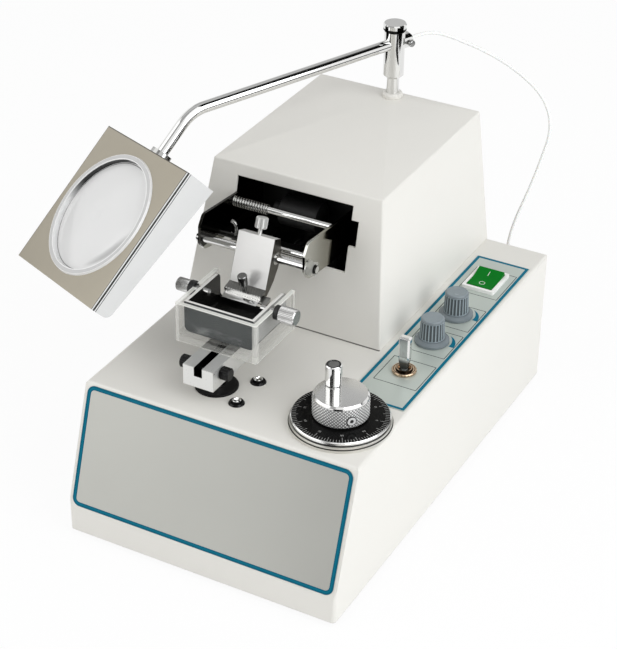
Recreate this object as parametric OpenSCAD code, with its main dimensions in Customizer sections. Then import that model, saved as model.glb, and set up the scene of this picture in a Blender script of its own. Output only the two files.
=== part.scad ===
// Vibrating microtome with a lighted magnifier, millimetres.
// Origin: centre of the base's footprint on the table, +Z up, front panel towards -Y.

/* [Base housing] */
// Width of the base housing
base_w = 210; // [200:1:240]
// Depth of the base housing
base_d = 346.8; // [336:0.2:380]
// Height of the base housing
base_h = 108; // [98:1:125]
// Height of the upright front lip
lip_h = 19.4; // [12:0.2:30]
// How far the sloping front leans back
slope_run = 29.6; // [20:0.2:38]
// Sheet thickness of the housing
base_wall = 2.5; // [1.6:0.1:3.2]
// Edge radius of the housing
base_r = 3; // [1:0.5:5]
// Side of the screw posts in the housing's corners
corner_post = 12; // [8:1:16]
// Thickness of the bottom plate
plate_t = 2; // [1.5:0.1:3]
// Height of the rubber ring under the base
foot_h = 4; // [3:0.5:10]
// Width of the rubber ring
foot_w = 14; // [8:1:24]
// Distance of the rubber ring from the housing's sides
foot_inset = 12; // [8:1:30]

/* [Panels] */
// Thickness of the two panel plates
panel_t = 0.6; // [0.4:0.1:1]
// Bare margin round the front panel plate
front_margin = 2.4; // [2:0.2:10]
// Corner radius of the front panel plate
front_corner = 6; // [2:0.5:10]
// Width of the control panel plate
control_w = 43; // [38:0.5:46]
// Length of the control panel plate
control_l = 216; // [212:0.5:222]
// Gap between the control panel plate and the housing's right side
control_margin = 3; // [2:0.5:6]
// Distance from the housing's front to the control panel plate
control_front = 101.4; // [98:0.2:108]

/* [Controls] */
// Distance of the toggle switch from the plate's front end
toggle_at = 44; // [38:0.5:50]
// Distance of the speed knob from the plate's front end
speed_at = 88.6; // [82:0.2:94]
// Distance of the amplitude knob from the plate's front end
amplitude_at = 129; // [122:0.5:136]
// Distance of the rocker switch from the plate's front end
rocker_at = 182; // [174:0.5:190]
// Diameter of a knob's skirt
skirt_d = 25; // [20:0.5:28]
// Diameter of a knob's fluted body
knob_d = 18.4; // [14:0.2:19.6]
// Height of a knob
knob_h = 19.5; // [14:0.5:24]
// Number of flutes on a knob
knob_flutes = 22; // [12:1:24]
// Diameter of a knob's shaft
knob_shaft_d = 6; // [4:0.5:7]
// Length of the toggle lever above its pivot
toggle_l = 28; // [18:0.5:32]
// Diameter of the toggle's threaded bush
toggle_d = 11.8; // [10:0.2:12.4]
// Diameter of the toggle's round nut
toggle_nut_d = 17.4; // [15:0.2:20]
// Width of the rocker switch's bezel
bezel_w = 25.5; // [24:0.5:30]
// Length of the rocker switch's bezel
bezel_l = 31; // [30:0.5:36]
// Rim width of the rocker switch's bezel
bezel_rim = 2.4; // [1.4:0.1:2.6]
// Angle between the rocker's two faces and its flat middle
rocker_angle = 7; // [6:1:14]

/* [Cowl] */
// Width of the bare deck on the cowl's right
cowl_side = 50.8; // [46:0.2:56]
// Distance from the housing's front to the cowl
cowl_ahead = 159.9; // [156:0.1:164]
// Height of the cowl
cowl_h = 105.3; // [102:0.1:115]
// Inward lean of the cowl's left side over its height
cowl_lean_l = 10.8; // [4:0.2:14]
// Inward lean of the cowl's right side over its height
cowl_lean_r = 13.2; // [4:0.2:15]
// Backward lean of the cowl's front over its height
cowl_lean_f = 24.6; // [16:0.2:26]
// Sheet thickness of the cowl
cowl_wall = 2; // [1.5:0.1:2.4]
// Edge radius of the cowl
cowl_r = 1.4; // [1:0.2:6]
// Left end of the front window, from the housing's middle
window_x0 = -73.6; // [-76:0.2:-73]
// Right end of the front window, from the housing's middle
window_x1 = 19.4; // [18:0.2:24]
// Bottom of the front window above the deck
window_z0 = 48.4; // [46:0.2:54]
// Top of the front window above the deck
window_z1 = 96.4; // [94:0.2:98]
// Depth of the notch at the window's right end
notch_w = 5.6; // [3:0.2:8]
// Bottom of the notch above the deck
notch_z0 = 67.6; // [60:0.2:70]
// Top of the notch above the deck
notch_z1 = 86.2; // [80:0.2:92]

/* [Dial] */
// Distance of the dial's axis from the housing's right side
dial_side = 34.3; // [33:0.1:42]
// Distance of the dial's axis from the housing's front
dial_front = 69.4; // [68:0.2:72]
// Diameter of the graduated disc
dial_d = 67.2; // [56:0.2:68]
// Thickness of the graduated disc
dial_t = 2.6; // [2:0.1:4]
// Diameter of the dial's knurled hub
hub_d = 37.8; // [34:0.2:44]
// Height of the hub above the disc
hub_h = 17.4; // [14:0.2:22]
// Diameter of the dial's shaft
dial_shaft_d = 8; // [6:0.5:10]
// Diameter of the crank's sleeve
crank_d = 11.4; // [9:0.2:12]
// Height of the crank's sleeve
crank_h = 15.5; // [13:0.1:22]
// Offset of the crank from the dial's axis
crank_off = 11; // [10:0.2:12]
// Direction of the crank from the dial's axis
crank_dir = 146; // [0:1:359]

/* [Lift] */
// Distance of the lift's axis left of the housing's middle
lift_left = 23.7; // [22:0.1:26]
// Distance of the lift's axis from the housing's front
lift_front = 67.4; // [66:0.2:69]
// Diameter of the lift post
post_d = 10; // [8:0.2:10.6]
// Diameter of the seal disc on the deck
seal_d = 30.4; // [26:0.2:32]
// Width of the stage block
block_w = 23.4; // [20:0.2:25]
// Length of the stage block
block_l = 62; // [56:1:70]
// Height of the stage block
block_h = 15.5; // [14:0.1:16]
// Distance from the lift's axis to the block's front end
block_nose = 24; // [21:0.5:26]
// Gap between the deck and the block
block_gap = 12; // [11.5:0.1:15]
// Width of the slot along the block
slot_w = 6.2; // [5:0.1:8]
// Depth of the slot along the block
slot_depth = 6.6; // [5:0.1:8]
// Root diameter of the two belt pulleys
pulley_d = 24; // [20:0.5:26]
// Thickness of the drive belt
belt_t = 1.7; // [1.2:0.1:2]
// Width of the drive belt
belt_w = 7; // [5:0.5:8]

/* [Bath] */
// Width of the clear bath
bath_w = 63.5; // [60:0.5:66]
// Length of the clear bath
bath_l = 54; // [52:0.5:56]
// Height of the clear bath
bath_h = 29.5; // [28:0.5:31]
// Wall of the clear bath
bath_wall = 3.2; // [2.6:0.2:4.6]
// Floor of the clear bath
bath_floor = 5; // [4:0.2:5.6]
// Height of the bath's low rear wall
bath_rear_h = 10.5; // [9:0.5:11.5]
// Distance of the bath's front from the lift's axis
bath_front = 1; // [0:0.2:3]
// Gap round the hanging tray
tray_gap = 1.5; // [1.4:0.1:2]
// Wall of the hanging tray
tray_wall = 2; // [1.2:0.1:2.4]
// Height of the tray's low rear wall above its floor's underside
tray_rear_h = 5; // [4:0.2:6]
// Corner radius of the tray
tray_r = 4; // [2.6:0.2:6]
// Distance of the tray's pivots below the bath's rim
pivot_drop = 2.5; // [2:0.1:4]
// Diameter of a tray screw's shaft
tray_shaft_d = 5; // [4:0.2:5.4]
// Diameter of a tray screw's knurled head
tray_head_d = 11.6; // [9:0.2:12.4]
// Length of a tray screw's knurled head
tray_head_l = 12.6; // [9:0.2:14]

/* [Carriage] */
// Outer face of the left carriage plate, from the housing's middle
carriage_x0 = -72; // [-72.4:0.1:-71]
// Outer face of the right carriage plate, from the housing's middle
carriage_x1 = 12.5; // [11.5:0.1:14]
// Thickness of a carriage plate
side_t = 2; // [1.5:0.1:2.4]
// How far the carriage plates reach out in front of the cowl's foot
side_out = 34.7; // [33.1:0.1:36.5]
// Distance of the pivot rod behind the plates' front edge
rod_back = 4.6; // [4.4:0.1:6]
// Height of the pivot rod above the deck
rod_z = 72; // [70:0.1:74]
// Diameter of the pivot rod
rod_d = 6; // [5:0.2:6.6]
// Diameter of the thin guide rod
guide_d = 4; // [3:0.2:4.4]
// Diameter of the rear rod
rear_rod_d = 4.8; // [4:0.2:5]
// Wire diameter of the return spring
spring_wire = 1.1; // [0.9:0.1:1.3]
// Mean diameter of the return spring
spring_d = 8; // [7.4:0.1:8.6]
// Turns of the return spring
spring_turns = 10; // [6:1:12]
// Length of the return spring
spring_l = 28; // [24:0.5:34]

/* [Feed] */
// Height of the feed rails and screw above the deck
rail_z = 46; // [44:0.5:46.5]
// Diameter of a feed rail
rail_d = 8; // [6:0.5:9]
// Diameter of the feed screw
feed_d = 7; // [5:0.5:8]
// Side of the square feed motor
motor_w = 36; // [30:1:42]
// Length of the feed motor
motor_l = 46; // [40:1:60]
// Diameter of the vibration motor
shaker_d = 22; // [18:1:24]
// Length of the vibration motor
shaker_l = 30; // [24:1:36]

/* [Blade arm] */
// Width of the blade arm
arm_w = 28.6; // [24:0.2:30]
// Middle of the blade arm, left of the housing's middle
arm_left = 26.5; // [25:0.1:28]
// Sheet thickness of the blade arm
arm_t = 1.5; // [1:0.1:1.6]
// Distance from the pivot rod to the arm's face
arm_face = 7.4; // [7.3:0.1:8]
// Length of the arm's face above the rod
arm_up = 13.7; // [13:0.1:15]
// Length of the arm's face below the rod, down to the clamp
arm_down = 22; // [20.5:0.1:23]
// Lean of the arm's face at rest
arm_lean = 21.4; // [18:0.2:24]
// Drop of the blade below level at rest
blade_drop = 14; // [8:0.5:18]
// Depth of the clamp bar
clamp_l = 7.9; // [7:0.1:9]
// Thickness of the clamp bar
clamp_t = 3; // [2.4:0.1:3.4]
// Width of the blade
blade_w = 27; // [22:0.5:28]
// How far the blade stands out of the clamp
blade_out = 5.6; // [4:0.1:6.4]
// Thickness of the blade
blade_t = 0.4; // [0.3:0.05:0.5]
// Thickness of the jaw under the blade
jaw_t = 2.2; // [1.8:0.1:2.6]
// How far the jaw reaches past the arm on the right
jaw_over = 5; // [3:0.2:6]

/* [Magnifier] */
// Distance of the lamp post left of the housing's middle
lamp_left = 27.9; // [20:0.1:36]
// Distance of the lamp post from the cowl's rear
lamp_back = 9; // [8.6:0.1:12]
// Diameter of the lamp post
lamp_post_d = 9.5; // [8:0.1:10]
// Height of the arm's axis above the cowl
arm_z = 43.3; // [42:0.1:50]
// Diameter of the swivel head
head_d = 15.7; // [14.6:0.1:18]
// Length of the swivel head below its cap
head_l = 38.5; // [36:0.1:40]
// Diameter of the head's cap
cap_d = 17.6; // [16:0.1:20]
// Thickness of the head's cap
cap_t = 5; // [4:0.1:7]
// Diameter of the magnifier's arm tube
tube_d = 8.6; // [7:0.1:9]
// Bore of the arm tube
tube_bore = 5.6; // [4.6:0.1:6]
// Length of the arm from the post to its bend
tube_l = 189; // [180:0.5:200]
// Centre-line radius of the arm's bend
bend_r = 28; // [20:0.5:34]
// Angle of the arm's bend
bend_angle = 43.3; // [38:0.1:48]
// Distance from the bend's corner to the lens frame
neck_l = 39; // [36:0.2:44]
// Swing of the arm to the left of straight ahead at rest
arm_swing = 22; // [20:0.2:30]
// Roll of the lens frame about its neck at rest
frame_roll = 7.5; // [0:0.5:12]
// Side of the square lens frame
frame_s = 112; // [106:0.5:116]
// Depth of the lens frame at the neck
frame_t0 = 26; // [24:0.5:30]
// Depth of the lens frame at its far end
frame_t1 = 15; // [13:0.5:20]
// Sheet thickness of the lens frame
frame_wall = 1.2; // [0.8:0.1:1.5]
// Diameter of the lens
lens_d = 86; // [78:0.5:88]
// Rise of each lens face
lens_rise = 3.2; // [2:0.1:4]
// Width of the lens ring's rim
ring_w = 3.4; // [2.6:0.1:4]
// Diameter of the lamp cord
cord_d = 2.6; // [2:0.1:2.8]

/* [Rear panel] */
// Distance of the mains inlet left of the housing's middle
inlet_left = 45; // [20:1:60]
// Height of the mains inlet above the housing's bottom edge
inlet_z = 46; // [30:1:60]
// Distance of the cord gland right of the housing's middle
gland_x = 60; // [54:1:66]
// Height of the cord gland above the housing's bottom edge
gland_z = 65.5; // [60:0.5:70]

/* [Clearances] */
// Radial clearance of a turning or sliding fit
run_gap = 0.06; // [0.03:0.01:0.1]
// Clearance between faces that pass each other
pass_gap = 0.3; // [0.2:0.05:0.5]

/* [Hidden] */
$fn = 64;
cut = 1;
eps = 0.02;

// Main planes and axes
bottom_z = foot_h;
deck_z = bottom_z + base_h;
cowl_top = deck_z + cowl_h;
front_y = -base_d / 2;
rear_y = base_d / 2;
left_x = -base_w / 2;
right_x = base_w / 2;
cowl_w = base_w - cowl_side;
cowl_d = base_d - cowl_ahead;
cowl_y = front_y + cowl_ahead;
dial_x = right_x - dial_side;
dial_y = front_y + dial_front;
lift_x = -lift_left;
lift_y = front_y + lift_front;

// Control panel positions
control_x = right_x - control_margin - control_w / 2;
control_y0 = front_y + control_front;
toggle_y = control_y0 + toggle_at;
knob_ys = [control_y0 + speed_at, control_y0 + amplitude_at];
rocker_y = control_y0 + rocker_at;
panel_z = deck_z + panel_t;
knob_z = panel_z + pass_gap;
skirt_h = 2.6;
knob_stem = 16;
pot_d = 17;
pot_bush_d = knob_shaft_d + 3;
pot_h = 11;
board_t = 1.6;
board_w = 36;
board_ends = 14;
toggle_bush_h = 3.4;
toggle_body = [13, 20, 22];
toggle_ball_d = 6.4;
toggle_pivot_z = panel_z + 0.4;
toggle_swing = 12;
toggle_nut_h = 2.2;
toggle_paddle = [8.4, 5.6];
toggle_foot = [4.4, 3.6];
toggle_neck = [2.5, 12];
bezel_h = 2.6;
rocker_gap = 0.4;
rocker_hole_l = bezel_l - 2 * bezel_rim;
rocker_hole_w = bezel_w - 2 * bezel_rim;
rocker_r = rocker_hole_l / 2 - rocker_gap;
rocker_pivot_z = panel_z - 0.6;
rocker_low = 5;
switch_case_l = rocker_hole_l + 1;
switch_case_w = rocker_hole_w + 1;
switch_case_h = 24;

// Dial heights
dial_base_t = 4.4;
dial_step = 0.6;
dial_bush_d = dial_shaft_d + 9;
dial_bush_l = 13;
disc_z = deck_z + dial_base_t + pass_gap;
hub_z = disc_z + dial_t;
hub_top = hub_z + hub_h;
hub_chamfer = 1.2;
crank_axle_d = 5;
crank_head_d = 8.4;
crank_head_t = 1.6;
crank_x = dial_x + crank_off * cos(crank_dir);
crank_y = dial_y + crank_off * sin(crank_dir);
crank_z = hub_top + pass_gap;
dial_shaft_in = 11;

// Belt drive under the deck
pulley_mid = deck_z - 29;
pulley_rim = belt_t + 0.9;
flange_t = 1.2;
pulley_h = belt_w + 2 * flange_t + 2 * pass_gap;
shaft_low = pulley_mid - pulley_h / 2 - 3;
bracket_t = 4;
bracket_x0 = lift_x - pulley_d / 2 - pulley_rim - 8;
bracket_x1 = lift_x + 32;
bracket_l = 46;
bracket_top = deck_z - base_wall;
bracket_low = pulley_mid - pulley_h / 2 - pass_gap - bracket_t;
guide_boss_d = post_d + 8;
post_flat = post_d / 2 - 0.8;
post_low = deck_z - 62;
deck_screw_x = lift_x + 22.5;
deck_screw_dy = [17.7, -11.8];
deck_screw_d = 4;
cup_d = 11.5;
cup_t = 1.4;
screw_head_d = 7;
screw_head_h = 2.4;
seal_t = 1.5;

// Stage block and its thumb screws
block_z0 = deck_z + block_gap;
block_z1 = block_z0 + block_h;
block_y0 = lift_y - block_nose;
thumb_y = block_y0 + 11;
thumb_head_d = 9.4;
thumb_z = block_z1 - thumb_head_d / 2 - 0.8;
thumb_head_l = 7;
thumb_shaft_d = 3;

// Bath and tray
bath_y0 = lift_y - bath_front;
bath_y1 = bath_y0 + bath_l;
bath_z0 = block_z1;
bath_z1 = bath_z0 + bath_h;
bath_r = 1.2;
key_gap = 0.15;
key_l = 40;
pivot_y = (bath_y0 + bath_y1) / 2;
pivot_z = bath_z1 - pivot_drop;
tray_w = bath_w - 2 * bath_wall - 2 * tray_gap;
tray_l = bath_l - 2 * bath_wall - 2 * tray_gap;
tray_y0 = bath_y0 + bath_wall + tray_gap;
tray_y1 = tray_y0 + tray_l;
tray_z0 = bath_z0 + bath_floor + tray_gap;
tray_z1 = bath_z1 + 0.5;
washer_d = 10.4;
washer_t = 3;
left_head_share = 0.82;
tray_tip = 4.4;

// Carriage
plate_x0 = carriage_x0 + side_t;
plate_x1 = carriage_x1 - side_t;
side_front = cowl_y - side_out;
side_rear = cowl_y + 59.5;
rod_y = side_front + rod_back;
rod_top = deck_z + rod_z;
side_low = rod_top - 14;
side_tail = rod_top + 9.6;
side_peak = rod_top + 18.5;
side_brow = rod_top + 11;
side_pts = [
  [side_rear, side_low],
  [side_rear, side_tail],
  [side_front + 5.5, side_peak],
  [side_front, side_brow],
  [side_front, rod_top - 2],
  [side_front + 5, rod_top - 9],
  [side_front + 12.2, rod_top - 10.8],
  [cowl_y + 9.5, side_low]];
side_radii = [0, 0, 4, 5, 5, 3, 0, 0];
guide_y = rod_y + 10.1;
guide_z = rod_top + 1.5;
rear_rod_y = cowl_y + 11;
rear_rod_z = rod_top + 10.4;
nut_af = 10;
nut_t = 4;
rod_washer_d = 11;
rod_washer_t = 1;
rod_head_t = 2.4;

// Feed drive inside the cowl
rail_x = [carriage_x0 + 14, carriage_x1 - 13];
feed_x = (carriage_x0 + carriage_x1) / 2;
rail_top = deck_z + rail_z;
frame_y = [cowl_y + 17.5, cowl_y + 81.5];
frame_block_t = 6;
frame_foot = 14;
frame_top = rail_top + rail_d / 2 + 2;
beam_y0 = side_rear - 14;
beam_web = 6;
beam_low = rail_top - 9;
beam_top = rod_top + 8;
beam_step = rail_top + 9;
shaker_y = side_rear - beam_web - shaker_d / 2 - 2;
shaker_z = rod_top - 4;
shaker_flat = 8;
shaker_shaft_l = 9;
shaker_shaft_d = 3;
shaker_weight_l = 4;
shaker_weight_d = 9;

// Blade arm: the arm's own frame has its origin on the pivot rod
bush_d = rod_d + 3.2;
bush_over = pass_gap;
arm_x0 = -arm_left - arm_w / 2;
arm_x1 = -arm_left + arm_w / 2;
jaw_turn = blade_drop + arm_lean;
jaw_end = clamp_t + blade_t + jaw_t;
face_end = arm_down + jaw_end * cos(jaw_turn);
flange_pts = [
  [-arm_face, arm_up],
  [1, arm_up],
  [bush_d / 2 + 0.9, bush_d / 2],
  [bush_d / 2 + 0.9, -6],
  [2.5, -16],
  [arm_t + 2 - arm_face, -face_end],
  [-arm_face, -face_end]];
screw_l = 13.2;
screw_head_top_d = 6.8;
screw_head_low_d = 6.2;
screw_stem_d = 3;
screw_at = clamp_l * 0.57;
lock_y = -3.4;
lock_head_d = 8.6;
lock_head_h = 8;
lock_stem_d = 3;
lock_tip = bush_d / 2 + 0.2;
lock_head_z = arm_up + 4.3;
tab_t = arm_t;
tab_rear = 1;

// Magnifier
lamp_x = -lamp_left;
lamp_y = rear_y - lamp_back;
tube_z = cowl_top + arm_z;
collar_d = 15.2;
collar_h = 3.6;
stud_d = lamp_post_d - 1.6;
stud_l = 10;
head_drop = 27;
head_low = tube_z - head_drop;
head_top = head_low + head_l;
post_top = tube_z - tube_d / 2 - 2;
head_chamfer = 2;
groove_d = head_d - 1.6;
groove_t = 1.2;
boss_d = tube_d + 4;
boss_l = 12.6;
tube_rear = 15;
head_screw_at = 9.8;
head_screw_d = 2.6;
head_screw_head_d = 5.2;
head_screw_head_l = 3.4;
flange_d = tube_d + 7;
neck_flange_t = 4;
neck_in = 3;
frame_r = 3;
frame_far_r = 6;
front_hole_d = lens_d + 3.2;
ring_d = front_hole_d + 2 * ring_w - 1.6;
ring_t = 1.6;
ring_wall = 1.4;
ring_depth = 7;
lens_edge = 2;
lamp_ring_t = 2.4;
back_hole_d = lens_d - 4;
back_angle = atan((frame_t0 - frame_t1) / frame_s);

// Rear panel
inlet_w = 48;
inlet_h = 28;
inlet_case = [27.6, 20.6];
inlet_hole = [24.6, 16.8];
inlet_depth = 26;
inlet_flange = 2.4;
inlet_cavity = 19;
pin_l = 13;
gland_d = 12;
gland_l = 12.6;
gland_hole_d = cord_d + 0.6;

// Lamp cord's route from inside the arm's rear end to the rear gland
cord_high = [-27.9, 164.4, 260.6];
cord_low = [60, 173.4, 69.5];
cord_shape = [
  [-24.5, 172.8, 260.6], [-22.3, 178.4, 260.6], [-18.5, 187.5, 260.8], [-13.5, 196, 260.2],
  [-7, 203, 258], [0.5, 208.5, 254.5], [9.5, 214, 250], [19.5, 219.5, 244.8],
  [30, 224, 239], [41, 227.5, 232.3], [51, 230, 225.4], [59.5, 231.5, 218.6],
  [66, 232.2, 212], [71, 232.4, 204.5], [74.4, 232, 196.5], [76.2, 230.8, 188],
  [76.5, 228.6, 179.5], [75.3, 225.8, 170.5], [73.7, 222.2, 160.5], [72, 218, 150.5],
  [70, 213.6, 140.5], [67.6, 209.6, 130.5], [65, 206.2, 120.5], [62.8, 203.6, 110.5],
  [61.2, 202, 100.5], [60.3, 201.2, 91], [60, 199.6, 82.6], [60, 196, 75.4],
  [60, 190.4, 70.8], [60, 184.4, 69.5], [60, 178, 69.5]];
cord_route = [for (p = cord_shape)
  let (w = (p.z - cord_low.z) / (cord_high.z - cord_low.z))
  p + w * ([lamp_x, lamp_y, tube_z] - cord_high)
    + (1 - w) * ([gland_x, rear_y, bottom_z + gland_z] - cord_low)];
cord_steps = 2;
cord_sides = 8;

// Outline helpers
function unit(v) = v / norm(v);
function corner_angle(a, p, b) = acos(unit(a - p) * unit(b - p));
function corner_run(a, p, b, r) = r / tan(corner_angle(a, p, b) / 2);
function corner_mid(a, p, b, r) =
  p + unit(unit(a - p) + unit(b - p)) * r / sin(corner_angle(a, p, b) / 2);

// Convex outline whose corners have the given radii
module round_poly(pts, radii) {
  n = len(pts);
  polygon([for (i = [0:n - 1])
    let (a = pts[(i + n - 1) % n], p = pts[i], b = pts[(i + 1) % n])
    each radii[i] > 0
      ? [for (q = [a, b]) p + unit(q - p) * corner_run(a, p, b, radii[i])]
      : [p]]);
  for (i = [0:n - 1])
    if (radii[i] > 0)
      translate(corner_mid(pts[(i + n - 1) % n], pts[i], pts[(i + 1) % n], radii[i]))
        circle(radii[i]);
}

// Rounded rectangle about the origin
module round_rect(w, h, r) {
  round_poly([[-w / 2, -h / 2], [w / 2, -h / 2], [w / 2, h / 2], [-w / 2, h / 2]], [r, r, r, r]);
}

// Outline in (y, z) carried along X
module along_x(x0, x1) {
  translate([x0, 0, 0])
    rotate([90, 0, 90])
      linear_extrude(x1 - x0)
        children();
}

// Outline in (x, z) carried along Y
module along_y(y0, y1) {
  translate([0, y1, 0])
    rotate([90, 0, 0])
      linear_extrude(y1 - y0)
        children();
}

// Outline in (x, y) carried along Z
module along_z(z0, z1) {
  translate([0, 0, z0])
    linear_extrude(z1 - z0)
      children();
}

// Round bars along each axis
module bar_x(x0, x1, y, z, d) {
  translate([x0, y, z])
    rotate([0, 90, 0])
      cylinder(d = d, h = x1 - x0);
}

module bar_y(x, y0, y1, z, d) {
  translate([x, y0, z])
    rotate([-90, 0, 0])
      cylinder(d = d, h = y1 - y0);
}

module bar_z(x, y, z0, z1, d) {
  translate([x, y, z0])
    cylinder(d = d, h = z1 - z0);
}

// Box between two corners
module block(a, b) {
  translate(a)
    cube(b - a);
}

// Knurled round head along +Z with a chamfer at both ends
module knurled(d, h, flutes, chamfer) {
  depth = 0.35;
  difference() {
    rotate_extrude()
      polygon([[0, 0], [d / 2 - chamfer, 0], [d / 2, chamfer], [d / 2, h - chamfer],
        [d / 2 - chamfer, h], [0, h]]);
    for (i = [0:flutes - 1])
      rotate(i * 360 / flutes)
        translate([d / 2, 0, -cut])
          cylinder(r = depth, h = h + 2 * cut, $fn = 4);
  }
}

// Base housing
slope_dir = unit([slope_run, base_h - lip_h]);

function slope_foot(inset) =
  [front_y, bottom_z + lip_h] + inset * [slope_dir[1], -slope_dir[0]];
function slope_y(z, inset) =
  slope_foot(inset)[0] + (z - slope_foot(inset)[1]) * slope_dir[0] / slope_dir[1];
function slope_z(y, inset) =
  slope_foot(inset)[1] + (y - slope_foot(inset)[0]) * slope_dir[1] / slope_dir[0];

module base_form(inset, low) {
  r = max(base_r - inset, 0.5);
  top = deck_z - inset;
  lip_y = front_y + inset;
  intersection() {
    along_x(left_x + inset, right_x - inset)
      round_poly([[lip_y, low], [rear_y - inset, low], [rear_y - inset, top],
        [slope_y(top, inset), top], [lip_y, slope_z(lip_y, inset)]], [0, 0, r, r, r]);
    along_y(front_y, rear_y)
      round_poly([[left_x + inset, low], [right_x - inset, low], [right_x - inset, top],
        [left_x + inset, top]], [0, 0, r, r]);
    along_z(low, deck_z)
      round_rect(base_w - 2 * inset, base_d - 2 * inset, r);
  }
}

module base_posts() {
  reach = base_wall + corner_post;
  intersection() {
    base_form(base_wall / 2, bottom_z + plate_t);
    for (sx = [-1, 1], sy = [-1, 1])
      translate([sx * (right_x - reach / 2), sy * (rear_y - reach / 2), bottom_z + plate_t])
        translate([-reach / 2, -reach / 2, 0])
          cube([reach, reach, base_h]);
  }
}

module base_housing() {
  color("ivory")
    difference() {
      union() {
        difference() {
          base_form(0, bottom_z);
          base_form(base_wall, bottom_z - cut);
        }
        base_posts();
      }
      bar_z(dial_x, dial_y, deck_z - base_wall - cut, deck_z + cut, dial_bush_d + 2 * pass_gap);
      bar_z(lift_x, lift_y, deck_z - base_wall - cut, deck_z + cut, post_d + 4);
      for (dy = deck_screw_dy)
        bar_z(deck_screw_x, lift_y + dy, deck_z - base_wall - cut, deck_z + cut,
          deck_screw_d + 2 * pass_gap);
      bar_z(control_x, toggle_y, deck_z - base_wall - cut, deck_z + cut, toggle_d + 2 * pass_gap);
      for (y = knob_ys)
        bar_z(control_x, y, deck_z - base_wall - cut, deck_z + cut, pot_bush_d + 2 * pass_gap);
      translate([control_x, rocker_y, deck_z - base_wall - cut])
        linear_extrude(base_wall + 2 * cut)
          square([switch_case_w + 2 * pass_gap, switch_case_l + 2 * pass_gap], center = true);
      translate([-inlet_left, 0, bottom_z + inlet_z])
        along_y(rear_y - base_wall - cut, rear_y + cut)
          square([inlet_case[0] + 2 * pass_gap, inlet_case[1] + 2 * pass_gap], center = true);
      bar_y(gland_x, rear_y - base_wall - cut, rear_y + cut, bottom_z + gland_z, gland_d - 2);
    }
}

module base_plate() {
  color("silver")
    along_z(bottom_z, bottom_z + plate_t)
      round_rect(base_w - 2 * base_wall - 2 * pass_gap, base_d - 2 * base_wall - 2 * pass_gap, 1);
}

// Damping ring that the instrument stands on
module rubber_ring() {
  w = base_w - 2 * foot_inset;
  l = base_d - 2 * foot_inset;
  color("dimgray")
    along_z(0, foot_h)
      difference() {
        round_rect(w, l, foot_w);
        round_rect(w - 2 * foot_w, l - 2 * foot_w, foot_w / 4);
      }
}

// Panels
module front_panel() {
  face = norm([slope_run, base_h - lip_h]);
  lean = atan(slope_run / (base_h - lip_h));
  color("lightgray")
    translate([0, front_y, bottom_z + lip_h])
      rotate([90 - lean, 0, 0])
        translate([0, face / 2, 0])
          linear_extrude(panel_t)
            round_rect(base_w - 2 * front_margin, face - 2 * front_margin, front_corner);
}

module control_panel() {
  color("lightgray")
    difference() {
      translate([control_x, control_y0 + control_l / 2, deck_z])
        linear_extrude(panel_t)
          round_rect(control_w, control_l, 1);
      bar_z(dial_x, dial_y, deck_z - cut, panel_z + cut, dial_d + 1.8 + 2 * dial_step + 2 * pass_gap);
      bar_z(control_x, toggle_y, deck_z - cut, panel_z + cut, toggle_d + 2 * pass_gap);
      for (y = knob_ys)
        bar_z(control_x, y, deck_z - cut, panel_z + cut, pot_bush_d + 2 * pass_gap);
      translate([control_x, rocker_y, deck_z - cut])
        linear_extrude(panel_t + 2 * cut)
          square([switch_case_w + 2 * pass_gap, switch_case_l + 2 * pass_gap], center = true);
    }
}

// Toggle switch
module toggle_body() {
  color("gold")
    difference() {
      union() {
        bar_z(control_x, toggle_y, deck_z - base_wall - cut, panel_z + toggle_bush_h, toggle_d);
        translate([control_x, toggle_y, deck_z - base_wall - toggle_body[2] / 2])
          cube(toggle_body, center = true);
      }
      translate([control_x, toggle_y, toggle_pivot_z])
        rotate_extrude()
          polygon([[0, -toggle_ball_d / 2 - 1], [toggle_ball_d / 2 + pass_gap, -toggle_ball_d / 2 - 1],
            [toggle_ball_d / 2 + pass_gap, 0.5],
            [toggle_d / 2 - 0.8, toggle_bush_h], [0, toggle_bush_h]]);
    }
}

module toggle_nut() {
  color("goldenrod")
    difference() {
      translate([control_x, toggle_y, panel_z])
        knurled(toggle_nut_d, toggle_nut_h, 24, 0.5);
      bar_z(control_x, toggle_y, panel_z - cut, panel_z + toggle_nut_h + cut, toggle_d + 2 * run_gap);
    }
}

module toggle_lever() {
  bevel = 1.2;
  w = toggle_paddle / 2;
  f = toggle_foot / 2;
  color("silver")
    translate([control_x, toggle_y, toggle_pivot_z]) {
      sphere(d = toggle_ball_d);
      along_x(-0.7, 0.7)
        circle(d = toggle_ball_d);
      intersection() {
        along_y(-w[1], w[1])
          polygon([[-f[0], toggle_neck[0]], [f[0], toggle_neck[0]], [w[0], toggle_neck[1]],
            [w[0], toggle_l - bevel], [w[0] - bevel, toggle_l], [bevel - w[0], toggle_l],
            [-w[0], toggle_l - bevel], [-w[0], toggle_neck[1]]]);
        along_x(-w[0], w[0])
          polygon([[-f[1], toggle_neck[0]], [f[1], toggle_neck[0]], [w[1], toggle_neck[1]],
            [w[1], toggle_l - bevel], [w[1] - bevel, toggle_l], [bevel - w[1], toggle_l],
            [-w[1], toggle_l - bevel], [-w[1], toggle_neck[1]]]);
        along_z(0, toggle_l + cut)
          polygon([[-w[0], bevel - w[1]], [bevel - w[0], -w[1]], [w[0] - bevel, -w[1]],
            [w[0], bevel - w[1]], [w[0], w[1] - bevel], [w[0] - bevel, w[1]],
            [bevel - w[0], w[1]], [-w[0], w[1] - bevel]]);
      }
    }
}

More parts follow.
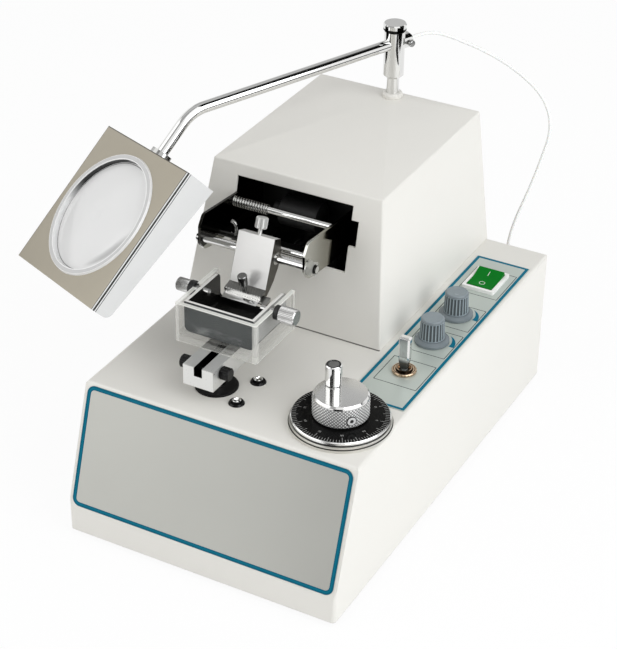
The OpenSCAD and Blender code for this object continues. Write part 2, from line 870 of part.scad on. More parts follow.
// Rocker switch
module rocker_bezel() {
  color("whitesmoke")
    difference() {
      union() {
        translate([control_x, rocker_y, panel_z])
          linear_extrude(bezel_h)
            round_rect(bezel_w, bezel_l, 1.2);
        translate([control_x, rocker_y, panel_z - switch_case_h])
          linear_extrude(switch_case_h + cut)
            square([switch_case_w, switch_case_l], center = true);
      }
      translate([control_x, rocker_y, rocker_pivot_z - rocker_r - rocker_gap])
        linear_extrude(switch_case_h)
          square([rocker_hole_w - 2 * eps, rocker_hole_l], center = true);
    }
}

module rocker() {
  half = rocker_r * cos(2 * rocker_angle);
  mid = 3.4;
  rise = half * tan(rocker_angle);
  color("limegreen")
    translate([control_x, rocker_y, rocker_pivot_z])
      rotate([rocker_angle, 0, 0])
        along_x(pass_gap - rocker_hole_w / 2, rocker_hole_w / 2 - pass_gap)
          intersection() {
            circle(rocker_r);
            polygon([[-rocker_r, -rocker_low], [rocker_r, -rocker_low], [rocker_r, mid + rise],
              [half, mid + rise], [0, mid], [-half, mid + rise], [-rocker_r, mid + rise]]);
          }
}

// Potentiometers on their board under the deck
module control_board() {
  pot_top = deck_z - base_wall;
  board_z = pot_top - pot_h - board_t;
  color("seagreen")
    difference() {
      union() {
        block([control_x - board_w / 2, knob_ys[0] - board_ends, board_z],
          [control_x + board_w / 2, knob_ys[1] + board_ends, board_z + board_t]);
        for (y = knob_ys) {
          bar_z(control_x, y, board_z + board_t / 2, pot_top, pot_d);
          bar_z(control_x, y, pot_top - cut, panel_z, pot_bush_d);
        }
      }
      for (y = knob_ys)
        bar_z(control_x, y, knob_z - knob_stem - pass_gap, panel_z + cut, knob_shaft_d + 2 * run_gap);
    }
}

module control_knob(y) {
  step = 0.8;
  translate([control_x, y, knob_z]) {
    difference() {
      union() {
        rotate_extrude()
          polygon([[0, 0], [skirt_d / 2, 0], [skirt_d / 2, skirt_h - step],
            [knob_d / 2 + 1, skirt_h + step], [0, skirt_h + step]]);
        rotate_extrude()
          polygon([[0, skirt_h], [knob_d / 2, skirt_h], [knob_d / 2 - 0.7, knob_h - 1],
            [knob_d / 2 - 1.7, knob_h], [0, knob_h]]);
      }
      for (i = [0:knob_flutes - 1])
        rotate((i + 0.5) * 360 / knob_flutes)
          translate([knob_d / 2 + 0.2, 0, skirt_h + 2 * step])
            rotate([0, -2.5, 0])
              cylinder(r = 0.38 * knob_d * PI / knob_flutes, h = knob_h - skirt_h - 4.6 * step);
    }
    translate([0, 0, -knob_stem])
      cylinder(d = knob_shaft_d, h = knob_stem + cut);
  }
}

module speed_knob() {
  color("slategray")
    control_knob(knob_ys[0]);
}

module amplitude_knob() {
  color("slategray")
    control_knob(knob_ys[1]);
}

// Cowl
function cowl_left(z) = left_x + cowl_lean_l * (z - deck_z) / cowl_h;
function cowl_right(z) = left_x + cowl_w - cowl_lean_r * (z - deck_z) / cowl_h;
function cowl_front(z) = rear_y - cowl_d + cowl_lean_f * (z - deck_z) / cowl_h;
function lean_stretch(lean) = norm([1, lean / cowl_h]);

module cowl_form(inset) {
  r = max(cowl_r - inset, 0.6);
  reach = r + inset;
  low = deck_z - 3 * cowl_r;
  high = cowl_top - reach;
  hull()
    for (z = [low, high])
      for (x = [cowl_left(z) + reach * lean_stretch(cowl_lean_l),
        cowl_right(z) - reach * lean_stretch(cowl_lean_r)])
        for (y = [cowl_front(z) + reach * lean_stretch(cowl_lean_f), rear_y - reach])
          translate([x, y, z])
            sphere(r, $fn = 24);
}

module cowl() {
  color("ivory")
    difference() {
      cowl_form(0);
      cowl_form(cowl_wall);
      block([left_x - cowl_w, front_y, deck_z - 5 * cowl_r], [right_x, rear_y + cut, deck_z]);
      along_y(cowl_y - cowl_lean_f, cowl_y + 2 * cowl_lean_f)
        polygon([[window_x0, deck_z + window_z0], [window_x1, deck_z + window_z0],
          [window_x1, deck_z + notch_z0], [window_x1 + notch_w, deck_z + notch_z0],
          [window_x1 + notch_w, deck_z + notch_z1], [window_x1, deck_z + notch_z1],
          [window_x1, deck_z + window_z1], [window_x0, deck_z + window_z1]]);
      bar_z(lamp_x, lamp_y, cowl_top - cowl_wall - cut, cowl_top + cut, stud_d + 2 * run_gap);
    }
}

// Rear panel fittings
module power_inlet() {
  color("black")
    translate([-inlet_left, 0, bottom_z + inlet_z]) {
      difference() {
        union() {
          along_y(rear_y, rear_y + inlet_flange)
            round_rect(inlet_w, inlet_h, 4);
          along_y(rear_y - inlet_depth, rear_y + cut)
            square(inlet_case, center = true);
        }
        along_y(rear_y + inlet_flange - inlet_cavity, rear_y + inlet_flange + cut)
          round_poly([[-inlet_hole[0] / 2, -inlet_hole[1] / 2], [inlet_hole[0] / 2, -inlet_hole[1] / 2],
            [inlet_hole[0] / 2, 2.6], [inlet_hole[0] / 2 - 5.4, inlet_hole[1] / 2],
            [5.4 - inlet_hole[0] / 2, inlet_hole[1] / 2], [-inlet_hole[0] / 2, 2.6]],
            [1, 1, 1, 1, 1, 1]);
      }
      for (p = [[-7, -2], [7, -2], [0, 2]])
        translate([p[0], 0, p[1]])
          along_y(rear_y + inlet_flange - inlet_cavity - cut,
            rear_y + inlet_flange - inlet_cavity + pin_l)
            square([2, 4], center = true);
    }
}

module cord_gland() {
  color("black")
    translate([gland_x, 0, bottom_z + gland_z])
      rotate([-90, 0, 0])
        translate([0, 0, rear_y])
          difference() {
            rotate_extrude()
              polygon([[gland_hole_d / 2, -8], [gland_d / 2 - 1 - pass_gap, -8],
                [gland_d / 2 - 1 - pass_gap, 0], [gland_d / 2 + 2, 0], [gland_d / 2 + 2, 4],
                [gland_d / 2 - 0.5, 5], [gland_d / 2 - 3, gland_l],
                [gland_hole_d / 2, gland_l]]);
            for (i = [0:5])
              rotate(i * 60)
                translate([gland_d / 2 + 1.4, -10, -cut])
                  cube([4, 20, 4 + 2 * cut]);
          }
}

// Lamp cord: one tube swept along a smooth curve through the route's points
function blend(a, b, c, d, t) =
  0.5 * (2 * b + (c - a) * t + (2 * a - 5 * b + 4 * c - d) * t * t
    + (3 * b - a - 3 * c + d) * t * t * t);
cord_last = len(cord_route) - 1;
cord_pts = [for (i = [0:cord_last - 1], s = [0:cord_steps - 1])
  blend(cord_route[max(i - 1, 0)], cord_route[i], cord_route[i + 1],
    cord_route[min(i + 2, cord_last)], s / cord_steps),
  cord_route[cord_last]];
cord_n = len(cord_pts);

function cord_dir(i) = unit(cord_pts[min(i + 1, cord_n - 1)] - cord_pts[max(i - 1, 0)]);
function side_dir(d) = unit(cross(d, [0.93, -0.37, 0.02]));

module lamp_cord() {
  rings = [for (i = [0:cord_n - 1], k = [0:cord_sides - 1])
    let (d = cord_dir(i), u = side_dir(d), v = cross(d, u), a = k * 360 / cord_sides)
    cord_pts[i] + (u * cos(a) + v * sin(a)) * cord_d / 2];
  walls = [for (i = [0:cord_n - 2], k = [0:cord_sides - 1])
    let (a = i * cord_sides + k, b = i * cord_sides + (k + 1) % cord_sides)
    each [[a, a + cord_sides, b], [b, a + cord_sides, b + cord_sides]]];
  ends = [[for (k = [0:cord_sides - 1]) k],
    [for (k = [cord_sides - 1:-1:0]) (cord_n - 1) * cord_sides + k]];
  color("white")
    polyhedron(rings, concat(walls, ends));
}

// Lift
module lift_seal() {
  color("black")
    difference() {
      translate([lift_x, lift_y, deck_z])
        rotate_extrude()
          polygon([[0, 0], [seal_d / 2, 0], [seal_d / 2, seal_t - 0.6], [seal_d / 2 - 0.8, seal_t],
            [0, seal_t]]);
      bar_z(lift_x, lift_y, deck_z - cut, deck_z + seal_t + cut, post_d + 2 * pass_gap);
    }
}

module deck_screws() {
  shank_l = base_wall + bracket_t + 4;
  color("silver")
    for (dy = deck_screw_dy)
      translate([deck_screw_x, lift_y + dy, deck_z]) {
        difference() {
          rotate_extrude()
            polygon([[deck_screw_d / 2 + run_gap, 0], [cup_d / 2, 0], [cup_d / 2 - 0.9, cup_t],
              [deck_screw_d / 2 + run_gap, cup_t]]);
        }
        translate([0, 0, cup_t])
          difference() {
            union() {
              intersection() {
                cylinder(d = screw_head_d, h = screw_head_h);
                translate([0, 0, screw_head_h - screw_head_d * 0.75])
                  sphere(d = 1.5 * screw_head_d);
              }
              translate([0, 0, -cup_t - shank_l])
                cylinder(d = deck_screw_d, h = shank_l + cup_t + cut);
            }
            translate([0, 0, 1])
              cylinder(d = 3.2, h = screw_head_h, $fn = 6);
          }
      }
}

module lift_bracket() {
  web_x = bracket_x0 + bracket_t;
  hole = deck_screw_d + 2 * run_gap;
  color("darkgray")
    difference() {
      union() {
        block([bracket_x0, lift_y - bracket_l / 2, bracket_top - bracket_t],
          [bracket_x1, lift_y + bracket_l / 2, bracket_top]);
        block([bracket_x0, lift_y - bracket_l / 2, bracket_low],
          [web_x, lift_y + bracket_l / 2, bracket_top]);
        block([bracket_x0, lift_y - bracket_l / 2, bracket_low],
          [lift_x + bracket_l / 2, lift_y + bracket_l / 2, bracket_low + bracket_t]);
        bar_z(lift_x, lift_y, pulley_mid + pulley_h / 2 + pass_gap, bracket_top, guide_boss_d);
      }
      difference() {
        bar_z(lift_x, lift_y, bracket_low - cut, bracket_top + cut, post_d + 2 * run_gap);
        block([lift_x + post_flat + run_gap, lift_y - post_d, bracket_top - 3 * bracket_t],
          [lift_x + post_d, lift_y + post_d, bracket_top + 2 * cut]);
      }
      for (dy = deck_screw_dy)
        bar_z(deck_screw_x, lift_y + dy, bracket_top - bracket_t - cut, bracket_top + cut, hole);
    }
}

module pulley_profile(bore) {
  half = pulley_h / 2;
  rim = pulley_d / 2 + pulley_rim;
  polygon([[bore, -half], [rim, -half], [rim, flange_t - half], [pulley_d / 2, flange_t - half],
    [pulley_d / 2, half - flange_t], [rim, half - flange_t], [rim, half], [bore, half]]);
}

module lift_pulley() {
  color("gainsboro")
    translate([lift_x, lift_y, pulley_mid])
      rotate_extrude()
        pulley_profile(post_d / 2 + run_gap);
}

module drive_belt() {
  inner = pulley_d / 2 + pass_gap;
  outer = inner + belt_t;
  a = [lift_x, lift_y];
  b = [dial_x, dial_y];
  turn = atan2(b[1] - a[1], b[0] - a[0]);
  span = norm(b - a);
  color("black")
    translate([lift_x, lift_y, pulley_mid - belt_w / 2])
      rotate(turn)
        linear_extrude(belt_w)
          difference() {
            union() {
              circle(outer);
              translate([span, 0])
                circle(outer);
              translate([0, -outer])
                square([span, 2 * outer]);
            }
            circle(inner);
            translate([span, 0])
              circle(inner);
            translate([0, -inner])
              square([span, 2 * inner]);
          }
}

module lift_post() {
  color("silver")
    difference() {
      bar_z(lift_x, lift_y, post_low, block_z0, post_d);
      block([lift_x + post_flat, lift_y - post_d, post_low - cut],
        [lift_x + post_d, lift_y + post_d, block_z0 - block_gap / 4]);
    }
}

module stage_block() {
  slot_z = block_z1 - slot_depth;
  color("silver")
    difference() {
      translate([lift_x, 0, 0])
        along_y(block_y0, block_y0 + block_l)
          polygon([[-block_w / 2, block_z0], [block_w / 2, block_z0], [block_w / 2, block_z1],
            [slot_w / 2, block_z1], [slot_w / 2, slot_z], [-slot_w / 2, slot_z],
            [-slot_w / 2, block_z1], [-block_w / 2, block_z1]]);
      bar_x(lift_x - block_w / 2 - cut, lift_x + block_w / 2 + cut, thumb_y, thumb_z,
        thumb_shaft_d + 2 * run_gap);
    }
}

module thumb_screw() {
  shaft_l = (block_w - slot_w) / 2;
  rotate([0, 90, 0]) {
    translate([0, 0, pass_gap])
      knurled(thumb_head_d, thumb_head_l, 20, 0.6);
    translate([0, 0, -shaft_l])
      cylinder(d = thumb_shaft_d, h = shaft_l + pass_gap + cut);
  }
}

module block_screw_right() {
  color("black")
    translate([lift_x + block_w / 2, thumb_y, thumb_z])
      thumb_screw();
}

module block_screw_left() {
  color("black")
    translate([lift_x - block_w / 2, thumb_y, thumb_z])
      rotate(180)
        thumb_screw();
}

// Bath
module ice_bath() {
  slot_r = tray_shaft_d / 2 + pass_gap;
  key_w = slot_w - 2 * key_gap;
  key_h = slot_depth - pass_gap;
  inner = [bath_w / 2 - bath_wall, bath_y0 + bath_wall, bath_y1 - bath_wall];
  color("aliceblue", 0.4)
    translate([lift_x, 0, 0])
      difference() {
        union() {
          translate([0, (bath_y0 + bath_y1) / 2, 0])
            along_z(bath_z0, bath_z1)
              round_rect(bath_w, bath_l, bath_r);
          block([-key_w / 2, bath_y0 + 4, bath_z0 - key_h],
            [key_w / 2, bath_y0 + 4 + key_l, bath_z0 + cut]);
        }
        block([-inner[0], inner[1], bath_z0 + bath_floor], [inner[0], inner[2], bath_z1 + cut]);
        block([-inner[0], inner[2] - cut, bath_z0 + bath_rear_h], [inner[0], bath_y1 + cut, bath_z1 + cut]);
        bar_x(-bath_w, bath_w, pivot_y, pivot_z, 2 * slot_r);
        block([-bath_w, pivot_y - slot_r, pivot_z], [bath_w, pivot_y + slot_r, bath_z1 + cut]);
      }
}

module tray_washers() {
  bore = tray_shaft_d + 2 * pass_gap;
  color("black")
    for (x = [lift_x - bath_w / 2 - washer_t, lift_x + bath_w / 2])
      difference() {
        bar_x(x, x + washer_t, pivot_y, pivot_z, washer_d);
        bar_x(x - cut, x + washer_t + cut, pivot_y, pivot_z, bore);
      }
}

module specimen_tray() {
  inner_w = tray_w - 2 * tray_wall;
  rear_z = tray_z0 + tray_rear_h;
  notch_r = 3;
  bore = tray_shaft_d + 2 * run_gap;
  color("dimgray")
    translate([lift_x, 0, 0])
      difference() {
        intersection() {
          along_y(tray_y0, tray_y1)
            round_poly([[-tray_w / 2, tray_z0], [tray_w / 2, tray_z0], [tray_w / 2, tray_z1],
              [-tray_w / 2, tray_z1]], [tray_r, tray_r, 0, 0]);
          along_x(-tray_w / 2, tray_w / 2)
            round_poly([[tray_y0, tray_z0], [tray_y1, tray_z0], [tray_y1, tray_z1],
              [tray_y0, tray_z1]], [0, 0, tray_r, 1]);
        }
        along_y(tray_y0 + tray_wall, tray_y1 - tray_wall)
          round_poly([[-inner_w / 2, tray_z0 + tray_wall], [inner_w / 2, tray_z0 + tray_wall],
            [inner_w / 2, tray_z1 + cut], [-inner_w / 2, tray_z1 + cut]],
            [tray_r - tray_wall, tray_r - tray_wall, 0, 0]);
        along_y(tray_y1 - 2 * tray_wall, tray_y1 + cut)
          round_poly([[-inner_w / 2, rear_z], [inner_w / 2, rear_z], [inner_w / 2, tray_z1 + cut],
            [-inner_w / 2, tray_z1 + cut]], [notch_r, notch_r, 0, 0]);
        bar_x(-tray_w, tray_w, pivot_y, pivot_z, bore);
      }
}

module tray_screw(share) {
  wall = bath_wall + tray_gap + tray_wall;
  rotate([0, 90, 0]) {
    translate([0, 0, washer_t + pass_gap])
      knurled(tray_head_d * share, tray_head_l * share, 36, 0.8);
    translate([0, 0, -wall - tray_tip])
      cylinder(d = tray_shaft_d, h = wall + tray_tip + washer_t + pass_gap + cut);
  }
}

module tray_screw_right() {
  color("silver")
    translate([lift_x + bath_w / 2, pivot_y, pivot_z])
      tray_screw(1);
}

module tray_screw_left() {
  color("silver")
    translate([lift_x - bath_w / 2, pivot_y, pivot_z])
      rotate(180)
        tray_screw(left_head_share);
}

// Dial
module dial_base() {
  d = dial_d + 1.8;
  bush_low = deck_z - base_wall - dial_bush_l;
  color("silver")
    translate([dial_x, dial_y, 0])
      rotate_extrude()
        polygon([[dial_shaft_d / 2 + run_gap, bush_low], [dial_bush_d / 2, bush_low],
          [dial_bush_d / 2, deck_z], [d / 2 + dial_step, deck_z],
          [d / 2 + dial_step, deck_z + dial_base_t / 2], [d / 2, deck_z + dial_base_t / 2],
          [d / 2, deck_z + dial_base_t], [dial_shaft_d / 2 + run_gap, deck_z + dial_base_t]]);
}

module dial_disc() {
  color("black")
    translate([dial_x, dial_y, disc_z])
      rotate_extrude()
        polygon([[dial_shaft_d / 2 + eps, 0], [dial_d / 2, 0], [dial_d / 2, dial_t - 0.8],
          [dial_d / 2 - 0.8, dial_t], [dial_shaft_d / 2 + eps, dial_t]]);
}

module dial_hub() {
  axle_top = crank_z + crank_h - 0.6;
  color("silver") {
    difference() {
      translate([dial_x, dial_y, hub_z])
        rotate_extrude()
          polygon([[0, 0], [hub_d / 2 - hub_chamfer, 0], [hub_d / 2, hub_chamfer],
            [hub_d / 2, hub_h - hub_chamfer], [hub_d / 2 - hub_chamfer, hub_h], [0, hub_h]]);
      bar_z(dial_x, dial_y, hub_z - cut, hub_z + dial_shaft_in + eps, dial_shaft_d + 2 * eps);
    }
    bar_z(crank_x, crank_y, hub_top - cut, axle_top, crank_axle_d);
    bar_z(crank_x, crank_y, axle_top - crank_head_t, axle_top, crank_head_d);
  }
}

module dial_shaft() {
  color("silver")
    translate([dial_x, dial_y, 0]) {
      translate([0, 0, shaft_low])
        cylinder(d = dial_shaft_d, h = hub_z + dial_shaft_in - shaft_low);
      translate([0, 0, pulley_mid])
        rotate_extrude()
          pulley_profile(0);
    }
}

module crank_sleeve() {
  head_z = crank_h - 0.6 - crank_head_t - pass_gap;
  color("silver")
    difference() {
      translate([crank_x, crank_y, crank_z])
        rotate_extrude()
          polygon([[crank_axle_d / 2 + run_gap, 0], [crank_d / 2 - 0.5, 0], [crank_d / 2, 0.5],
            [crank_d / 2, crank_h - 0.8], [crank_d / 2 - 0.8, crank_h],
            [crank_head_d / 2 + run_gap, crank_h], [crank_head_d / 2 + run_gap, head_z],
            [crank_axle_d / 2 + run_gap, head_z]]);
    }
}

// Carriage
module side_plate(x) {
  color("silver")
    difference() {
      along_x(x, x + side_t)
        round_poly(side_pts, side_radii);
      bar_x(x - cut, x + side_t + cut, rod_y, rod_top, rod_d + 2 * run_gap);
    }
}

module left_plate() {
  side_plate(carriage_x0);
}

module right_plate() {
  side_plate(plate_x1);
}

module carriage_rods() {
  washer_x = carriage_x1;
  nut_x = washer_x + rod_washer_t;
  color("silver") {
    bar_x(carriage_x0 - rod_head_t, nut_x + nut_t + 2, rod_y, rod_top, rod_d);
    translate([carriage_x0, rod_y, rod_top])
      rotate([0, -90, 0])
        rotate_extrude()
          polygon([[0, 0], [rod_washer_d / 2, 0], [rod_washer_d / 2 - 1.6, rod_head_t], [0, rod_head_t]]);
    difference() {
      union() {
        bar_x(washer_x, nut_x, rod_y, rod_top, rod_washer_d);
        translate([nut_x, rod_y, rod_top])
          rotate([0, 90, 0])
            cylinder(d = nut_af / cos(30), h = nut_t, $fn = 6);
      }
      bar_x(washer_x - cut, nut_x + nut_t + cut, rod_y, rod_top, rod_d + 2 * eps);
    }
    bar_x(plate_x0, plate_x1, guide_y, guide_z, guide_d);
    bar_x(plate_x0, plate_x1, rear_rod_y, rear_rod_z, rear_rod_d);
  }
}

// Return spring: one tube wound round the rear rod
coil_rings = 8;
coil_sides = 6;
coil_n = spring_turns * coil_rings;
coil_x0 = plate_x0 + spring_wire / 2 + 0.2;
coil_pts = [for (i = [0:coil_n])
  let (a = i * 360 / coil_rings)
  [coil_x0 + (spring_l - spring_wire) * i / coil_n,
    rear_rod_y + spring_d / 2 * cos(a),
    rear_rod_z + spring_d / 2 * sin(a)]];
coil_gap = min([for (i = [0:coil_n], j = [i + coil_rings / 2:1:coil_n])
  norm(coil_pts[i] - coil_pts[j])]) - spring_wire;
echo(coil_gap = coil_gap);

module return_spring() {
  pitch = (spring_l - spring_wire) / spring_turns;
  rings = [for (i = [0:coil_n], k = [0:coil_sides - 1])
    let (a = i * 360 / coil_rings, out = [0, cos(a), sin(a)],
      run = unit([pitch, -sin(a) * PI * spring_d, cos(a) * PI * spring_d]),
      side = cross(run, out), b = k * 360 / coil_sides)
    coil_pts[i] + (out * cos(b) + side * sin(b)) * spring_wire / 2];
  walls = [for (i = [0:coil_n - 1], k = [0:coil_sides - 1])
    let (a = i * coil_sides + k, b = i * coil_sides + (k + 1) % coil_sides)
    each [[a, a + coil_sides, b], [b, a + coil_sides, b + coil_sides]]];
  first = [for (k = [1:coil_sides - 2]) [0, k, k + 1]];
  start = coil_n * coil_sides;
  last = [for (k = [1:coil_sides - 2]) [start, start + k + 1, start + k]];
  color("gray")
    polyhedron(rings, concat(walls, first, last));
}

module feed_beam() {
  web_y = side_rear - beam_web;
  color("darkgray")
    difference() {
      along_x(plate_x0, plate_x1)
        polygon([[beam_y0, beam_low], [side_rear, beam_low], [side_rear, beam_top], [web_y, beam_top],
          [web_y, beam_step], [beam_y0, beam_step]]);
      for (x = rail_x)
        bar_y(x, beam_y0 - cut, side_rear + cut, rail_top, rail_d + 2 * run_gap);
      bar_y(feed_x, beam_y0 - cut, side_rear + cut, rail_top, feed_d + 2 * run_gap);
    }
}

module vibration_motor() {
  shaft_x = feed_x - shaker_l / 2 - shaker_shaft_l;
  color("dimgray") {
    bar_x(feed_x - shaker_l / 2, feed_x + shaker_l / 2, shaker_y, shaker_z, shaker_d);
    bar_x(shaft_x, feed_x - shaker_l / 2 + cut, shaker_y, shaker_z, shaker_shaft_d);
    bar_x(shaft_x + 1, shaft_x + 1 + shaker_weight_l, shaker_y + shaker_shaft_d / 2, shaker_z,
      shaker_weight_d);
    block([feed_x - shaker_l / 2 + 3, shaker_y, shaker_z - shaker_flat],
      [feed_x + shaker_l / 2 - 3, side_rear - beam_web, shaker_z + shaker_flat]);
  }
}

// Feed drive
module feed_frame() {
  x0 = rail_x[0] - rail_d;
  x1 = rail_x[1] + rail_d;
  color("darkgray") {
    difference() {
      for (y = frame_y) {
        block([x0, y, deck_z], [x1, y + frame_block_t, frame_top]);
        block([x0, y, deck_z], [x1, y + frame_foot, deck_z + 4]);
      }
      bar_y(feed_x, frame_y[0] + 2, frame_y[1] + frame_block_t + cut, rail_top, feed_d + 2 * run_gap);
    }
    for (x = rail_x)
      bar_y(x, frame_y[0] + 1, frame_y[1] + 1, rail_top, rail_d);
  }
}

module feed_motor() {
  y0 = frame_y[1] + frame_block_t;
  color("dimgray")
    difference() {
      union() {
        translate([feed_x, 0, rail_top])
          along_y(y0, y0 + motor_l)
            round_rect(motor_w, motor_w, 3);
        bar_y(feed_x, y0 + motor_l - cut, y0 + motor_l + 14, rail_top, motor_w * 0.8);
      }
      bar_y(feed_x, y0 - cut, y0 + 9, rail_top, feed_d + 2 * run_gap);
      block([feed_x - motor_w, y0 + frame_foot - frame_block_t - motor_l, deck_z - cut],
        [feed_x + motor_w, y0 + frame_foot - frame_block_t + pass_gap, deck_z + 4 + pass_gap]);
    }
}

module feed_screw() {
  color("silver")
    bar_y(feed_x, frame_y[0] + 2 + pass_gap, frame_y[1] + frame_block_t + 8, rail_top, feed_d);
}

// Blade arm
module at_arm() {
  translate([0, rod_y, rod_top])
    rotate([-arm_lean, 0, 0])
      children();
}

module at_jaw() {
  at_arm()
    translate([0, -arm_face, -arm_down])
      rotate([jaw_turn, 0, 0])
        children();
}

// Where the arm's face stands at a depth below the jaw's top, in the jaw's own frame
function face_at(depth) = -depth * tan(jaw_turn);

module vibration_bush() {
  color("peru")
    difference() {
      bar_x(arm_x0 - bush_over, arm_x1 + bush_over, rod_y, rod_top, bush_d);
      bar_x(arm_x0 - bush_over - cut, arm_x1 + bush_over + cut, rod_y, rod_top, rod_d + 2 * run_gap);
    }
}

module blade_arm() {
  color("lightgray")
    at_arm()
      difference() {
        union() {
          for (x = [arm_x0, arm_x1 - arm_t])
            along_x(x, x + arm_t)
              polygon(flange_pts);
          block([arm_x0, -arm_face, -face_end], [arm_x1, arm_t - arm_face, arm_up]);
          block([arm_x0, -arm_face, arm_up - tab_t], [arm_x1, tab_rear, arm_up]);
        }
        bar_x(arm_x0 - cut, arm_x1 + cut, 0, 0, bush_d + 2 * run_gap);
        bar_z(-arm_left, lock_y, arm_up - tab_t - cut, arm_up + cut, lock_stem_d + 2 * run_gap);
      }
}

module blade_jaw() {
  z1 = -clamp_t - blade_t;
  z0 = z1 - jaw_t;
  color("dimgray")
    at_jaw()
      difference() {
        along_x(arm_x0, arm_x1 + jaw_over)
          polygon([[face_at(-z1), z1], [face_at(-z0), z0], [-clamp_l - 1, z0], [-clamp_l - 2, z1]]);
        bar_z(-arm_left, -screw_at, z0 - cut, z1 + cut, screw_stem_d + 2 * run_gap);
      }
}

module clamp_bar() {
  color("dimgray")
    at_jaw()
      difference() {
        along_x(arm_x0, arm_x1)
          polygon([[0, 0], [face_at(clamp_t), -clamp_t], [-clamp_l, -clamp_t], [-clamp_l, 0]]);
        bar_z(-arm_left, -screw_at, -clamp_t - cut, cut, screw_stem_d + 2 * run_gap);
      }
}

module blade() {
  rear = face_at(clamp_t + blade_t) - 0.2;
  tip = -clamp_l - blade_out;
  bevel = 1.6;
  color("white")
    at_jaw()
      difference() {
        along_x(-arm_left - blade_w / 2, -arm_left + blade_w / 2)
          polygon([[rear, -clamp_t], [rear, -clamp_t - blade_t], [tip, -clamp_t - blade_t],
            [tip + bevel, -clamp_t]]);
        along_z(-clamp_t - blade_t - cut, cut - clamp_t)
          translate([-arm_left, -screw_at])
            square([12, screw_stem_d + 0.6], center = true);
      }
}

module clamp_screw() {
  low = -clamp_t - blade_t - jaw_t + 0.2;
  neck = 4.2;
  color("dimgray")
    at_jaw()
      translate([-arm_left, -screw_at, 0])
        rotate_extrude()
          polygon([[0, low], [screw_stem_d / 2, low], [screw_stem_d / 2, neck],
            [screw_head_low_d / 2, neck + 1], [screw_head_top_d / 2, screw_l - 2.5],
            [screw_head_top_d / 2, screw_l - 0.6], [screw_head_top_d / 2 - 0.6, screw_l],
            [0, screw_l]]);
}

module tilt_screw() {
  color("silver")
    at_arm()
      translate([-arm_left, lock_y, 0]) {
        bar_z(0, 0, lock_tip, lock_head_z + cut, lock_stem_d);
        translate([0, 0, lock_head_z])
          knurled(lock_head_d, lock_head_h, 20, 0.6);
      }
}

// Magnifier
module at_head() {
  translate([lamp_x, lamp_y, tube_z])
    rotate(-arm_swing)
      children();
}

module at_neck() {
  at_head()
    translate([0, -tube_l, 0])
      rotate([bend_angle, 0, 0])
        children();
}

module at_frame() {
  at_neck()
    rotate([0, -frame_roll, 0])
      translate([0, -neck_l, 0])
        children();
}

module post_collar() {
  color("white")
    translate([lamp_x, lamp_y, cowl_top])
      rotate_extrude()
        polygon([[lamp_post_d / 2 + eps, 0], [collar_d / 2, 0], [collar_d / 2, collar_h - 0.8],
          [collar_d / 2 - 0.8, collar_h], [lamp_post_d / 2 + eps, collar_h]]);
}

module lamp_post() {
  color("silver")
    translate([lamp_x, lamp_y, 0])
      rotate_extrude()
        polygon([[0, cowl_top - stud_l], [stud_d / 2, cowl_top - stud_l], [stud_d / 2, cowl_top],
          [lamp_post_d / 2, cowl_top], [lamp_post_d / 2, post_top], [0, post_top]]);
}

module post_head() {
  r = head_d / 2;
  bore = lamp_post_d / 2 + run_gap;
  color("silver")
    difference() {
      union() {
        translate([lamp_x, lamp_y, 0])
          rotate_extrude()
            polygon([[bore, head_low], [r - head_chamfer, head_low], [r, head_low + head_chamfer],
              [r, head_top - groove_t], [groove_d / 2, head_top - groove_t],
              [groove_d / 2, head_top], [cap_d / 2, head_top],
              [cap_d / 2, head_top + cap_t - 0.8], [cap_d / 2 - 0.8, head_top + cap_t],
              [0, head_top + cap_t], [0, post_top + pass_gap], [bore, post_top + pass_gap]]);
        at_head()
          bar_y(0, 0, boss_l, 0, boss_d);
      }
      at_head()
        bar_y(0, -head_d, head_d, 0, tube_d + 2 * run_gap);
      at_head()
        bar_x(tube_d / 2, boss_d, head_screw_at, 0, head_screw_d + 2 * run_gap);
    }
}

module head_screw() {
  head_x = boss_d / 2 + pass_gap;
  color("silver")
    at_head() {
      bar_x(tube_d / 2 + pass_gap, head_x + cut, head_screw_at, 0, head_screw_d);
      translate([head_x, head_screw_at, 0])
        rotate([0, 90, 0])
          knurled(head_screw_head_d, head_screw_head_l, 14, 0.5);
    }
}

module tube_ring(inset) {
  difference() {
    circle(d = tube_d - 2 * inset);
    circle(d = tube_bore + 2 * inset);
  }
}

module arm_tube() {
  run = bend_r * tan(bend_angle / 2);
  lap = 0.5;
  color("silver") {
    at_head() {
      along_y(run - tube_l, tube_rear)
        tube_ring(0);
      translate([0, run - tube_l, -bend_r])
        rotate([0, -90, 0])
          rotate([180, 0, 0])
            rotate_extrude(angle = bend_angle)
              translate([bend_r, 0])
                tube_ring(0);
    }
    at_neck()
      along_y(-neck_l - neck_in, lap - run)
        tube_ring(eps);
  }
}

// Wedge outline of the lens frame in (y, z), drawn in by an inset
module frame_wedge(inset) {
  z1 = frame_t0 / 2 - inset;
  back_inset = inset / cos(back_angle);
  y0 = inset - frame_s;
  y1 = -inset;
  function back_z(y) = -frame_t0 / 2 + back_inset - y * tan(back_angle);
  r = max(frame_far_r - inset, 0.5);
  round_poly([[y0, z1], [y0, back_z(y0)], [y1, back_z(y1)], [y1, z1]], [0, r, 0, 0]);
}

